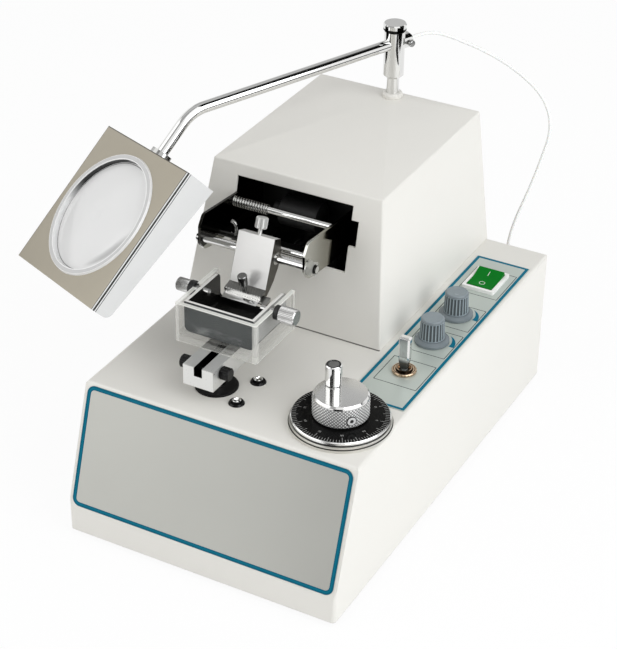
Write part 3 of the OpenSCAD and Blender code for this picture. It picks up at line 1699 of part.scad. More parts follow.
module frame_form(inset, open) {
  half = frame_s / 2 - inset;
  z1 = frame_t0 / 2 - inset;
  r = max(frame_r - inset, 0.5);
  intersection() {
    along_x(-half, half)
      frame_wedge(inset);
    along_y(-frame_s, 0)
      round_poly([[-half, -frame_t0], [half, -frame_t0], [half, z1], [-half, z1]], [0, 0, r, r]);
  }
  if (open)
    along_x(-half, half)
      polygon([[inset - frame_s + frame_far_r, frame_t0 / 2 - frame_t1 + inset + 2], [-inset, 0],
        [-inset, -frame_t0], [inset - frame_s + frame_far_r, -frame_t0]]);
}

module lens_frame() {
  mid = -frame_s / 2;
  color("silver")
    at_frame()
      difference() {
        union() {
          difference() {
            frame_form(0, false);
            frame_form(frame_wall, true);
          }
          bar_y(0, -frame_wall, neck_flange_t, 0, flange_d);
        }
        bar_z(0, mid, 0, frame_t0, front_hole_d);
        bar_y(0, -2 * frame_wall, neck_flange_t + cut, 0, tube_d + 2 * run_gap);
      }
}

module lens_back() {
  mid = -frame_s / 2;
  inset = frame_wall + 0.05;
  cover_t = 2.4 * frame_wall;
  ring_r = back_hole_d / 2 + 3;
  color("silver")
    at_frame() {
      difference() {
        intersection() {
          frame_form(inset, false);
          translate([0, 0, -frame_t0 / 2])
            rotate([-back_angle, 0, 0])
              block([-frame_s, -2 * frame_s, -frame_t0], [frame_s, frame_s, cover_t]);
        }
        bar_z(0, mid, -2 * frame_t0, frame_t0, back_hole_d);
      }
      translate([0, 0, -frame_t0 / 2])
        rotate([-back_angle, 0, 0])
          translate([0, mid / cos(back_angle), cover_t / 2])
            rotate_extrude()
              polygon([[ring_r, 0], [ring_r + 6, 0], [ring_r + 6, cover_t / 2 + lamp_ring_t],
                [ring_r, cover_t / 2 + lamp_ring_t]]);
    }
}

module lens() {
  front = frame_t0 / 2;
  seat_r = front_hole_d / 2 - 2 * run_gap;
  bulge_r = ((lens_d / 2) ^ 2 + lens_rise ^ 2) / (2 * lens_rise);
  lens_mid = front - ring_depth / 2;
  color("azure", 0.5)
    at_frame()
      translate([0, -frame_s / 2, 0])
        union() {
          rotate_extrude()
            polygon([[lens_d / 2 - eps, front - ring_depth], [seat_r, front - ring_depth],
              [seat_r, front], [ring_d / 2, front], [ring_d / 2 - 0.6, front + ring_t],
              [lens_d / 2 - eps, front + ring_t]]);
          rotate_extrude()
            intersection() {
              translate([0, front - ring_depth])
                square([lens_d / 2, 2 * ring_depth]);
              translate([0, lens_mid + lens_edge / 2 + lens_rise - bulge_r])
                circle(bulge_r, $fn = 1440);
              translate([0, lens_mid - lens_edge / 2 - lens_rise + bulge_r])
                circle(bulge_r, $fn = 1440);
            }
        }
}

base_housing();
base_plate();
rubber_ring();
front_panel();
control_panel();
cowl();
power_inlet();
cord_gland();
lamp_cord();
lift_seal();
deck_screws();
lift_bracket();
feed_frame();
feed_motor();
control_board();
toggle_body();
toggle_nut();
rocker_bezel();
post_collar();
lamp_post();
dial_base();
drive_belt();
toggle_lever();
rocker();
speed_knob();
amplitude_knob();
dial_disc();
dial_hub();
dial_shaft();
crank_sleeve();
lift_pulley();
lift_post();
stage_block();
block_screw_right();
block_screw_left();
ice_bath();
tray_washers();
specimen_tray();
tray_screw_left();
tray_screw_right();
left_plate();
right_plate();
carriage_rods();
return_spring();
feed_beam();
feed_screw();
vibration_motor();
vibration_bush();
blade_arm();
blade_jaw();
clamp_bar();
blade();
clamp_screw();
tilt_screw();
post_head();
head_screw();
arm_tube();
lens_frame();
lens_back();
lens();
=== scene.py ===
"""Finishes and fine pieces for a bench tissue slicer with a vibrating blade and a lighted magnifier."""

import math

import bpy
import numpy as np
from mathutils import Euler, Matrix


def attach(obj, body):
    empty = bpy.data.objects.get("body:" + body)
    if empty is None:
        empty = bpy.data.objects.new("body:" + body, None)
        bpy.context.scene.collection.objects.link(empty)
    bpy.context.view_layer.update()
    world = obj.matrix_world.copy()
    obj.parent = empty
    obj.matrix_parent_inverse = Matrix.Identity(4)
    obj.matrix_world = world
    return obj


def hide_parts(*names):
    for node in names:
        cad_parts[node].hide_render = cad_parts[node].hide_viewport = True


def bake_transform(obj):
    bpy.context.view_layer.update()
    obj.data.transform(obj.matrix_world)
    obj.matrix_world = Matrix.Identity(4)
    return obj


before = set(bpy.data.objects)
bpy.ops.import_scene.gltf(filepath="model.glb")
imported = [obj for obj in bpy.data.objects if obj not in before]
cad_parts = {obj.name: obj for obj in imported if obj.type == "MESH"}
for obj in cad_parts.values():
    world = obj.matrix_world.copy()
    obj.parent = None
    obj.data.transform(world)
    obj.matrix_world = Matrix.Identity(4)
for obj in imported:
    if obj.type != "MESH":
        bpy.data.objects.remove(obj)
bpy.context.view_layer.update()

bl_info = {
    "name": "Tissue slicer looks",
    "version": (1, 0, 0),
    "blender": (4, 5, 0),
    "location": "View3D > Sidebar > Slicer",
    "description": "Finishes and fine pieces for a bench tissue slicer with a lighted magnifier",
    "category": "Object",
}

MM = 0.001

# Places of the model, in millimetres
DECK_Z = 112.0
PANEL_FLAT = 0.6
PANEL_Z = DECK_Z + PANEL_FLAT
PANEL_W = 205.2
PANEL_LIP = 4.8
PANEL_CORNER = 5.9
CONTROL_X = 80.5
CONTROL_Y = (-72.0, 144.0)
CONTROL_W = 43.0
CONTROL_FRAMES = ((-46.3, -13.1), (-1.0, 32.1), (39.1, 71.7), (89.6, 128.0))
CONTROL_FRAME_W = 32.6
CONTROL_FRAME_X = 82.0
CRESCENT_TURN = (-4.0, 53.0)
TOGGLE_Y = -28.0
LEVER_Z = (120.0, 139.0)
LEVER_NECK = (120.5, 125.5)
KNOBS_Y = (16.6, 57.0)
KNOB_FOOT = 115.0
KNOB_GRIP = (117.0, 130.4)
KNOB_TOP = 132.2
KNOB_TAPER = 0.042
KNOB_RIDGE = 9.05
ROCKER_Y = 110.0
ROCKER_ANGLE = 7.0
ROCKER_VALLEY = 3.4
ROCKER_MARK = 6.3
DIAL = (70.7, -104.0)
DISC_TOP = 119.3
HUB_TOP = 136.7
HUB_R = 18.9
DIAL_PHASE = math.radians(11.6)
# Inner radius of the dial's strokes at each tenth, each fifth and every other mark
STROKES_IN = (27.2, 28.2, 29.8)
STROKES_OUT = 32.7
STROKE_W = 0.34
NUMBERS_R = 24.9
SET_SCREW_TURN = math.radians(-41.0)
SET_SCREW_UP = 6.6
SET_SCREW_R = 3.0
SET_SCREW_SEAT = 3.6
SET_SCREW_HEX = 1.45
CRANK = (61.58, -97.85)
CRANK_HEAD = 151.9
SLEEVE_TOP = 152.5
SLOPE_FOOT = (0.0, -173.4, 23.4)
SLOPE_RUN = 29.6
SLOPE_RISE = 88.6
COWL_FRONT = -13.5
# Left, right and front wall of the cowl: its foot on the deck and how far it leans over the cowl's rise
COWL_WALLS = ((-105.0, 10.8), (54.2, -13.2), (COWL_FRONT, 24.6))
COWL_REAR = 173.4
COWL_TOP = 217.3
COWL_RISE = 105.3
COWL_THICK = 2.0
REAR_ROD = (-2.5, 194.4)
PIVOT_ROD = (-43.6, 184.0)
GUIDE_ROD = (-33.5, 185.5)
PLATE_RIGHT_IN = 10.5
PLATE_LEFT_OUT = -69.9
PLATE_LOBE = 177.0
PLATE_FADE = (-48.0, -14.0)
SPRING_START = -69.45
# X and Z of the wire hook that stands on the guide rod
HOOK_ROUTE = ((-50.0, 184.4), (-50.0, 188.0), (-50.0, 191.5), (-50.1, 194.0), (-50.8, 195.8),
              (-52.0, 196.8), (-53.4, 197.2))
BATH = ((-55.45, 8.05), (-107.0, -53.0), (139.5, 169.0))
BATH_WALL = 3.2
BATH_FLOOR = 5.0
TRAY_TOP = 169.5
TRAY_FRONT = -102.3
TRAY_RIGHT = 3.35
TRAY_SCUFFS = (150.0, 158.0)
SLOT_X = -23.7
SLOT_HALF = 3.12
SLOT_Z = (132.6, 139.2)
DECK_SCREWS = ((-1.2, -88.3), (-1.2, -117.8))
DECK_CUP_R = 3.2
ARM_X = -26.5
ARM_HALF = 14.3
ARM_LEFT = -43.0
CLAMP_FRONT = -65.4
HEAD_GROOVE = (270.9, 273.6)
LENS_FRAME = (Matrix.Translation((-27.9, 164.4, 260.6)) @ Matrix.Rotation(math.radians(-22.0), 4, "Z")
              @ Matrix.Translation((0.0, -189.0, 0.0)) @ Matrix.Rotation(math.radians(43.3), 4, "X")
              @ Matrix.Rotation(math.radians(-7.5), 4, "Y") @ Matrix.Translation((0.0, -39.0, 0.0)))
FRAME_FACE = 13.0
FRAME_HALF = 56.0
LENS_R = 43.0
LENS_HOLE_R = 44.6
LENS_RING_R = 46.5
CORD_ROUTE = (
    (-24.5, 172.8, 260.6), (-22.3, 178.4, 260.6), (-18.5, 187.5, 260.8), (-13.5, 196, 260.2),
    (-7, 203, 258), (0.5, 208.5, 254.5), (9.5, 214, 250), (19.5, 219.5, 244.8),
    (30, 224, 239), (41, 227.5, 232.3), (51, 230, 225.4), (59.5, 231.5, 218.6),
    (66, 232.2, 212), (71, 232.4, 204.5), (74.4, 232, 196.5), (76.2, 230.8, 188),
    (76.5, 228.6, 179.5), (75.3, 225.8, 170.5), (73.7, 222.2, 160.5), (72, 218, 150.5),
    (70, 213.6, 140.5), (67.6, 209.6, 130.5), (65, 206.2, 120.5), (62.8, 203.6, 110.5),
    (61.2, 202, 100.5), (60.3, 201.2, 91), (60, 199.6, 82.6), (60, 196, 75.4),
    (60, 190.4, 70.8), (60, 184.4, 69.5), (60, 178, 69.5))


def length(name, description, millimetres):
    """A size in millimetres, kept in metres."""
    return bpy.props.FloatProperty(name=name, description=description, default=millimetres * MM,
                                   min=0.0, precision=5, subtype="DISTANCE", unit="LENGTH")


def count(name, description, default, least):
    """A whole number."""
    return bpy.props.IntProperty(name=name, description=description, default=default, min=least)


def colour(name, description, *rgb):
    """A linear colour."""
    return bpy.props.FloatVectorProperty(name=name, description=description, default=rgb, size=3,
                                         min=0.0, max=1.0, subtype="COLOR")


class SlicerSizes(bpy.types.PropertyGroup):
    """Sizes of the fine pieces."""

    cord_diameter: length("Cord diameter", "Diameter of the lamp cord", 2.6)
    border_front: length("Front border", "Width of the coloured border on the front panel", 3.0)
    border_control: length("Control border", "Width of the coloured border on the control panel", 2.3)
    frame_line: length("Frame line", "Width of the thin lines round each group of controls", 0.5)
    print_height: length("Print height", "Thickness of printed lines", 0.04)
    dial_number: length("Dial number height", "Height of the numbers on the dial", 2.4)
    dial_marks: count("Dial marks", "Marks round the dial", 100, 10)
    knurl_teeth: count("Knurl teeth", "Diamonds round the dial's hub", 50, 12)
    spring_wire: length("Spring wire", "Wire diameter of the return spring", 0.9)
    spring_diameter: length("Spring diameter", "Mean diameter of the return spring", 7.2)
    spring_length: length("Spring length", "Length of the return spring", 28.0)
    spring_turns: count("Spring turns", "Turns of the return spring", 14, 3)


class SlicerColours(bpy.types.PropertyGroup):
    """Colours of the finishes."""

    enamel: colour("Enamel", "Stove enamel of the housing and cowl", 0.74, 0.725, 0.68)
    film: colour("Front film", "Satin film of the front panel", 0.475, 0.475, 0.44)
    strip: colour("Control film", "Satin film of the control panel", 0.52, 0.57, 0.53)
    border: colour("Border", "Printed border of the panels", 0.001, 0.108, 0.172)
    stripe: colour("Border stripe", "Paler line along the printed border", 0.004, 0.142, 0.218)
    line: colour("Line", "Thin printed lines", 0.03, 0.04, 0.04)
    knob: colour("Knob", "Moulded knobs", 0.16, 0.19, 0.205)
    rocker: colour("Rocker", "Mains rocker", 0.0, 0.17, 0.012)
    bezel: colour("Bezel", "Pale mouldings", 0.86, 0.86, 0.84)
    brass: colour("Bronze", "Nut of the toggle switch", 0.58, 0.43, 0.30)
    bright: colour("Bright metal", "Plated and polished metal", 0.80, 0.80, 0.79)
    taupe: colour("Lens frame", "Face of the lens frame", 0.39, 0.355, 0.285)
    cord: colour("Cord", "Sheath of the lamp cord", 0.88, 0.88, 0.86)


def grey(level):
    """A neutral colour."""
    return (level, level, level)


def shade(rgb, factor):
    """A colour made lighter or darker."""
    return tuple(min(1.0, part * factor) for part in rgb)


BLACK = grey(0.004)
JOINT_AND_SHADE_DARK = (0.05, 0.05, 0.045)
STEEL_GREY = (0.70, 0.70, 0.68)
# Noise scale of the faint clouds on metal, and scale and detail of those on enamel
METAL_CLOUD = 60.0
ENAMEL_CLOUD = (14.0, 3.0)
ENAMEL_SHARES = (0.975, 1.02)
# Edges sharper than this stay sharp in the shading, in degrees
CREASE_ANGLE = 32.0


def maths(operation, swapped=False):
    """A method of Signal that adds one Math node; swapped puts the other value first."""
    def method(self, *others):
        values = (*others, self) if swapped else (self, *others)
        return self.nodes.node("Math", {"operation": operation}, dict(enumerate(values)))
    return method


class Signal:
    """A socket of a node tree. Arithmetic on it adds Math nodes."""

    __add__, __radd__ = maths("ADD"), maths("ADD", True)
    __sub__, __rsub__ = maths("SUBTRACT"), maths("SUBTRACT", True)
    __mul__, __rmul__ = maths("MULTIPLY"), maths("MULTIPLY", True)
    __truediv__ = maths("DIVIDE")
    least, most = maths("MINIMUM"), maths("MAXIMUM")
    size, root = maths("ABSOLUTE"), maths("SQRT")
    fold = maths("PINGPONG")

    def __init__(self, nodes, socket):
        self.nodes = nodes
        self.socket = socket

    def wave(self):
        """0 at whole numbers and 1 halfway between them."""
        return self.fold(0.5) * 2.0

    def diagonal(self, other):
        """Diagonal of a rectangle with these two sides."""
        return (self * self + other * other).root()

    def ease(self, low, high):
        """0 below low, 1 above high and smooth between them."""
        return self.nodes.node("MapRange", {"interpolation_type": "SMOOTHSTEP"}, {0: self, 1: low, 2: high})

    def fall(self, low, high):
        """1 below low, 0 above high and smooth between them."""
        return 1.0 - self.ease(low, high)

    def within(self, low, high, soft):
        """1 between low and high, 0 beyond them, smooth over soft."""
        return self.ease(low - soft, low) * self.fall(high, high + soft)


class Nodes:
    """A node tree, of a finish or of the world."""

    def __init__(self, tree):
        self.tree = tree

    def feed(self, socket, value):
        if isinstance(value, Signal):
            self.tree.links.new(value.socket, socket)
        elif socket.type == "RGBA" and len(value) == 3:
            socket.default_value = (*value, 1.0)
        else:
            socket.default_value = value

    def node(self, kind, settings, sockets, out=0):
        """One node: its settings first, then the values or links of its sockets."""
        made = self.tree.nodes.new("ShaderNode" + kind)
        for name, value in settings.items():
            setattr(made, name, value)
        for name, value in sockets.items():
            self.feed(made.inputs[name], value)
        return Signal(self, made.outputs[out])


class Finish(Nodes):
    """One material: a Principled shader and the nodes that feed it."""

    def __init__(self, name, **uniform):
        self.material = bpy.data.materials.new(name)
        self.material.use_nodes = True
        super().__init__(self.material.node_tree)
        self.shader = self.tree.nodes["Principled BSDF"]
        self.set(**uniform)

    def set(self, **sockets):
        """Feeds the shader's sockets, named with underscores for spaces."""
        for name, value in sockets.items():
            self.feed(self.shader.inputs[name.replace("_", " ").title().replace("Ior", "IOR")], value)
        return self

    def place(self, stretch=None):
        """Object coordinates in metres, stretched along the axes where asked."""
        point = self.node("TexCoord", {}, {}, 3)
        if stretch is not None:
            point = self.node("Mapping", {}, {"Vector": point, "Scale": stretch})
        return point

    def axes(self, own=None):
        """The three Object coordinates in millimetres, or those in a matrix's own frame."""
        point = self.place()
        if own is None:
            return [self.node("SeparateXYZ", {}, {0: point}, axis) * (1 / MM) for axis in range(3)]
        start = own.to_translation()
        return [self.node("VectorMath", {"operation": "DOT_PRODUCT"}, {0: point, 1: tuple(way)}, 1)
                * (1 / MM) - way.dot(start) for way in own.to_3x3().transposed()]

    def around(self, *centres):
        """Distance in millimetres from the nearest of some upright axes."""
        x, y, _ = self.axes()
        near, *others = [(x - cx).diagonal(y - cy) for cx, cy in centres]
        for off in others:
            near = near.least(off)
        return near

    def noise(self, scale, detail=2.0, rough=0.5, stretch=None):
        return self.node("TexNoise", {}, {"Vector": self.place(stretch), "Scale": scale,
                                          "Detail": detail, "Roughness": rough})

    def mix(self, mask, first, second):
        """A colour from first where mask is 0 to second where it is 1."""
        return self.node("Mix", {"data_type": "RGBA"}, {0: mask, 6: first, 7: second}, 2)

    def clouded(self, cloud, rgb, low, high):
        """A colour between two shares of its brightness, by a cloud."""
        return self.mix(cloud, shade(rgb, low), shade(rgb, high))

    def paint(self, ground, *layers, **sockets):
        """Base colour from a ground colour and layers: each has a colour that shows where its mask is 1."""
        for mask, tone in layers:
            ground = self.mix(mask, ground, tone)
        return self.set(base_color=ground, **sockets)

    def repaint(self, mask, low, high, tone, **sockets):
        """Metal clouded between two colours, and a third colour where the mask is 1."""
        return self.paint(self.mix(self.noise(METAL_CLOUD), low, high), (mask, tone), **sockets)

    def bump(self, height, strength, distance, edge=None):
        """Relief from a height, over edges rounded in the shading where asked."""
        sockets = {"Height": height, "Strength": strength, "Distance": distance}
        if edge is not None:
            sockets["Normal"] = self.node("Bevel", {"samples": 4}, {"Radius": edge})
        return self.set(normal=self.node("Bump", {}, sockets))


def enamel_finish(name, rgb):
    """Stove enamel: orange peel relief, faint clouds in colour and gloss, soft edges."""
    made = Finish(name, coat_weight=0.08, coat_roughness=0.5)
    cloud = made.noise(*ENAMEL_CLOUD)
    made.paint(made.clouded(cloud, rgb, *ENAMEL_SHARES), roughness=0.34 + 0.10 * cloud)
    return made.bump(made.noise(520.0, 1.0), 0.05, 0.0004, 0.0009)


def cowl_finish(rgb):
    """Enamel outside, painted highlight on the window's edges, matt black on the inner wall, a dark joint
    along the deck.
    """
    made = enamel_finish("cowl_enamel", rgb)
    x, y, z = made.axes()
    rise = (z - DECK_Z) / COWL_RISE
    left, right, front = (foot + lean * rise for foot, lean in COWL_WALLS)
    depth = (x - left).least(right - x).least(y - front).least(COWL_REAR - y).least(COWL_TOP - z)
    inner = depth.ease(COWL_THICK - 0.25, COWL_THICK - 0.05)
    joint = z.fall(DECK_Z + 0.75, DECK_Z + 1.05) * y.fall(COWL_FRONT + 0.6, COWL_FRONT + 1.2)
    # Painted highlight: the window's edges, where the sheet's thickness shows, are painted paler as if lit.
    painted_edge_highlight = depth.within(0.6, 1.6, 0.12)
    cloud = made.noise(*ENAMEL_CLOUD)
    return made.paint(made.clouded(cloud, rgb, *ENAMEL_SHARES), (joint * 0.85, JOINT_AND_SHADE_DARK),
                      (painted_edge_highlight, shade(rgb, 1.25)), (inner, BLACK), roughness=0.34 + 0.10 * cloud + 0.35 * inner)


def film_finish(name, rgb):
    """Satin panel film with fine lengthwise lines."""
    made = Finish(name, metallic=0.33)
    grain = made.noise(900.0, 2.0, 0.6, (0.06, 1.0, 1.0))
    made.paint(made.clouded(made.noise(9.0), rgb, 0.95, 1.05), roughness=0.33 + 0.08 * grain)
    return made.bump(grain, 0.04, 0.0002)


def print_finish(name, rgb):
    """Screen print: flat ink with a slightly uneven gloss."""
    made = Finish(name, specular_ior_level=0.06)
    cloud = made.noise(160.0)
    return made.paint(made.clouded(cloud, rgb, 0.9, 1.1), roughness=0.32 + 0.12 * cloud)


def bright_finish(name, rgb, gloss, grain_scale=700.0, stretch=(1.0, 1.0, 1.0), relief=0.02, edge=None):
    """Bare or plated metal: fine grain along one way in gloss and relief, faint clouds in colour."""
    made = Finish(name, metallic=1.0)
    grain = made.noise(grain_scale, 3.0, 0.6, stretch)
    made.paint(made.clouded(made.noise(METAL_CLOUD), rgb, 0.93, 1.04),
               roughness=gloss + 0.5 * gloss * grain)
    return made.bump(grain, relief, 0.0002, edge)


def moulded_finish(name, rgb, gloss, relief=0.05):
    """Moulded plastic: spark-eroded grain and faint flow clouds."""
    made = Finish(name, specular_ior_level=0.5)
    cloud = made.noise(90.0, 3.0)
    made.paint(made.clouded(cloud, rgb, 0.88, 1.1), roughness=gloss + 0.12 * cloud)
    return made.bump(made.noise(1400.0, 1.0), relief, 0.0003, 0.0003)


def knob_finish(rgb):
    """Moulded knobs: grained grey, painted highlights along the ridges, painted shade in the flutes and a
    painted lighter top face.

    The body tapers, so the distance from the axis is corrected by the height above its foot.
    """
    made = Finish("knob_moulding")
    _, _, z = made.axes()
    out = made.around(*((CONTROL_X, y) for y in KNOBS_Y)) + (z - KNOB_FOOT) * KNOB_TAPER
    # Painted highlight along the ridges, painted shade in the flutes, and the top face painted lighter as
    # if lit from above.
    ridge_highlight = out.within(KNOB_RIDGE, KNOB_RIDGE + 0.25, 0.05) * z.within(*KNOB_GRIP, 0.3)
    flute_shade = out.fall(8.5, KNOB_RIDGE) * z.fall(KNOB_TOP - 1.6, KNOB_TOP - 1.2)
    top = z.ease(KNOB_TOP - 0.3, KNOB_TOP)
    cloud = made.noise(110.0, 3.0)
    made.paint(made.clouded(cloud, rgb, 0.9, 1.1), (ridge_highlight, shade(rgb, 2.0)), (flute_shade, shade(rgb, 0.45)),
               (top, shade(rgb, 1.3)), roughness=0.22 + 0.08 * cloud)
    return made.bump(made.noise(1500.0, 1.0), 0.05, 0.0003, 0.0003)


def lever_finish(rgb):
    """Plated toggle lever: its front has a painted reflection of the dark, in streaks, and its neck is
    dark.
    """
    made = bright_finish("toggle_chrome", rgb, 0.06, edge=0.0005)
    x, y, z = made.axes()
    # Painted reflection: the paddle's front is painted in dark streaky tones and made less metallic.
    front = y.fall(TOGGLE_Y - 2.9, TOGGLE_Y - 2.7) * (x - CONTROL_X).size().fall(2.7, 3.0)
    streak = made.noise(260.0, 2.0, 0.5, (1.0, 1.0, 0.4)).ease(0.42, 0.6)
    low = made.mix(streak, (0.08, 0.085, 0.08), (0.20, 0.22, 0.21))
    high = made.mix(streak, (0.03, 0.05, 0.05), (0.17, 0.22, 0.215))
    neck = z.fall(*LEVER_NECK)
    return made.paint(rgb, (front, made.mix(z.ease(*LEVER_Z), low, high)), (neck, (0.06, 0.065, 0.06)),
                      metallic=1.0 - 0.8 * front.most(neck))


def turned_finish(name, rgb):
    """Turned bronze round the toggle's axis: painted shade in the grooves between bright rings and in the
    throat.
    """
    made = bright_finish(name, rgb, 0.16)
    out = made.around((CONTROL_X, TOGGLE_Y))
    # Painted shade: the grooves and the throat are painted nearly black.
    groove = out.within(5.7, 6.2, 0.15).most(out.within(7.2, 7.6, 0.15)).most(out.fall(3.4, 3.7))
    return made.repaint(groove, shade(rgb, 0.9), rgb, shade(rgb, 0.06))


def disc_finish(bright):
    """Glossy black anodised face with light dust; the turned rim below it stays bright."""
    made = Finish("dial_black", specular_ior_level=0.06)
    _, _, z = made.axes()
    face = z.ease(DISC_TOP - 0.14, DISC_TOP - 0.06).most(z.fall(DISC_TOP - 2.15, DISC_TOP - 2.0))
    dust = made.noise(320.0, 4.0, 0.7)
    black = made.mix(dust.ease(0.55, 0.8), BLACK, grey(0.012))
    return made.paint(bright, (face, black), metallic=1.0 - face, roughness=0.12 + 0.12 * dust)


def knurl_finish(rgb):
    """Knurled metal: painted shade down in the grooves, painted highlight on the points."""
    made = bright_finish("knurl_metal", shade(rgb, 0.9), 0.3).set(metallic=0.6)
    # Painted shade in the grooves and painted highlight on the points, by distance from the axis.
    high = made.around(DIAL).ease(HUB_R + 0.08, HUB_R + 0.24)
    return made.paint(made.clouded(high, rgb, 0.28, 1.15))


def sleeve_finish(rgb):
    """Polished sleeve whose top face is black inside a bright rim."""
    made = bright_finish("sleeve_bright", rgb, 0.07, 500.0, relief=0.005, edge=0.0003)
    _, _, z = made.axes()
    black = z.ease(SLEEVE_TOP - 0.12, SLEEVE_TOP - 0.04) * made.around(CRANK).fall(5.0, 5.2)
    return made.repaint(black, shade(rgb, 0.95), rgb, grey(0.012))


def ring_finish():
    """Turned base ring with a line of painted shade round its side."""
    made = bright_finish("ring_satin", (0.74, 0.73, 0.69), 0.28)
    _, _, z = made.axes()
    # Painted shade: a dark line round the side where the ring steps.
    groove = z.within(DECK_Z + 2.1, DECK_Z + 2.5, 0.1)
    return made.repaint(groove, (0.70, 0.69, 0.65), (0.77, 0.76, 0.72), JOINT_AND_SHADE_DARK)


def cup_finish(bright):
    """Bright screw heads inside black cups."""
    made = Finish("deck_screw", specular_ior_level=0.2)
    cup = made.around(*DECK_SCREWS).ease(DECK_CUP_R - 0.1, DECK_CUP_R + 0.05)
    return made.paint(bright, (cup, grey(0.006)), metallic=1.0 - cup,
                      roughness=0.06 + 0.04 * made.noise(500.0) + 0.15 * cup)


def block_finish():
    """Milled block, satin along its length, with painted shade in its slot."""
    made = bright_finish("block_satin", STEEL_GREY, 0.24, 800.0, (1, 0.15, 1), 0.03, 0.0003)
    x, _, z = made.axes()
    # Painted shade: the slot is painted black for the shade inside it.
    slot = (x - SLOT_X).size().fall(SLOT_HALF, SLOT_HALF + 0.08) * z.within(*SLOT_Z, 0.1)
    return made.repaint(slot, STEEL_GREY, (0.78, 0.78, 0.76), BLACK, metallic=0.6 + 0.4 * slot)


def bath_finish(rgb):
    """Clear cast plastic: paler in walls and floor, a painted highlight along the edges, pale and near
    opaque on the rim, with a black key.

    On an outer face one of the three distances to the faces is zero, so the sum of the two least is the
    distance to the nearest edge.
    """
    made = Finish("bath_clear", ior=1.49, specular_ior_level=0.5)
    axes = made.axes()
    x, y, z = ((place - low).least(high - place) for place, (low, high) in zip(axes, BATH))
    # Painted highlight: the edges are made pale and opaque as if light glowed along them.
    edge = (x + y + z - x.most(y).most(z)).fall(0.25, 0.7)
    upright = (x + y).fall(BATH_WALL - 0.2, BATH_WALL + 0.2)
    height, (bottom, top) = axes[2], BATH[2]
    floor = height.fall(bottom + BATH_FLOOR - 0.2, bottom + BATH_FLOOR + 0.2)
    rim = height.ease(top - 0.15, top - 0.03)
    key = height.fall(bottom - 0.3, bottom - 0.1)
    cloud = made.noise(40.0)
    alpha = 0.02 + 0.02 * cloud + 0.34 * upright + 0.18 * floor + 0.5 * edge + 0.7 * rim + key
    return made.paint(made.clouded(floor, rgb, 1.0, 0.9), (key, BLACK), metallic=key,
                      roughness=0.05 + 0.03 * cloud + 0.3 * rim, alpha=alpha.least(1.0))


def tray_finish():
    """Blackened tray: its bright rim, slate grey front and paler right side are painted light; the front
    also has scuffs.
    """
    made = Finish("tray_blackened", specular_ior_level=0.3)
    x, y, z = made.axes()
    grain = made.noise(420.0, 3.0)
    # Painted light: the rim, the front and the right side are lit copies of the black; the scuffs are
    # marks.
    rim = z.ease(TRAY_TOP - 0.3, TRAY_TOP - 0.18)
    front = y.fall(TRAY_FRONT + 0.04, TRAY_FRONT + 0.12)
    side = x.ease(TRAY_RIGHT - 0.12, TRAY_RIGHT - 0.04)
    scuff = made.noise(95.0, 5.0, 0.65, (0.5, 1.0, 1.2)).ease(0.5, 0.72) * z.fall(*TRAY_SCUFFS)
    slate = made.mix(scuff, (0.030, 0.036, 0.038), (0.16, 0.17, 0.17))
    made.paint(made.mix(grain, BLACK, (0.010, 0.010, 0.009)), (front, slate), (side, (0.30, 0.30, 0.29)),
               (rim, (0.70, 0.69, 0.66)), roughness=0.16 + 0.06 * grain + 0.3 * front)
    return made.bump(grain, 0.02, 0.0001, 0.0002)


def plate_finish():
    """Polished plates, painted paler to the front; inner faces and the left plate's upper part painted
    dark, a painted reflection.
    """
    made = bright_finish("plate_mirror", (0.50, 0.495, 0.45), 0.07, 900.0, (1, 0.08, 1), 0.015, 0.0003)
    x, y, z = made.axes()
    right = x.ease(0.0, 1.0)
    left = 1.0 - right
    # Painted reflection: the outer faces' tones and the dark inner faces stand in for what the plates
    # mirror.
    outer = made.mix(y.ease(*PLATE_FADE), (0.60, 0.60, 0.56), (0.30, 0.29, 0.245))
    inner = x.within(PLATE_LEFT_OUT, PLATE_RIGHT_IN + 0.15, 0.1).most(left)
    dark = made.mix(right, (0.035, 0.034, 0.03), (0.075, 0.068, 0.045))
    lobe = z.fall(PLATE_LOBE, PLATE_LOBE + 1.0) * left
    return made.paint(outer, (inner * (1.0 - lobe), dark))


def rod_finish(rgb):
    """Polished rods: the guide rod is painted black left of the arm, painted shade; the pivot rod's washer
    duller than its nut.
    """
    made = bright_finish("rod_polish", rgb, 0.07)
    x, y, z = made.axes()
    pivot, guide = ((y - along).diagonal(z - up) for along, up in (PIVOT_ROD, GUIDE_ROD))
    end = x.ease(PLATE_RIGHT_IN + 2.1, PLATE_RIGHT_IN + 2.3)
    washer = end * pivot.ease(3.3, 3.5)
    line = end * pivot.within(2.7, 3.3, 0.15)
    # Painted shade: the guide rod is black where it lies in the dark window left of the arm.
    black = guide.fall(2.2, 2.4) * x.fall(ARM_LEFT, ARM_LEFT + 1.0)
    return made.paint(made.clouded(made.noise(METAL_CLOUD), rgb, 0.93, 1.0), (washer, (0.40, 0.40, 0.37)),
                      (line.most(black), (0.03, 0.03, 0.028)), metallic=1.0 - 0.6 * washer)


def arm_finish():
    """Folded sheet with painted shade on its flanks."""
    made = bright_finish("arm_sheet", STEEL_GREY, 0.3, 700.0, (0.1, 1, 1), 0.02, 0.0003)
    x, _, _ = made.axes()
    # Painted shade: the flanks of the sheet are painted dark.
    flank_shade = (x - ARM_X).size().ease(ARM_HALF - 0.2, ARM_HALF - 0.1)
    return made.repaint(flank_shade, (0.68, 0.675, 0.66), (0.74, 0.735, 0.72), (0.12, 0.115, 0.10),
                        metallic=0.5 + 0.5 * flank_shade)


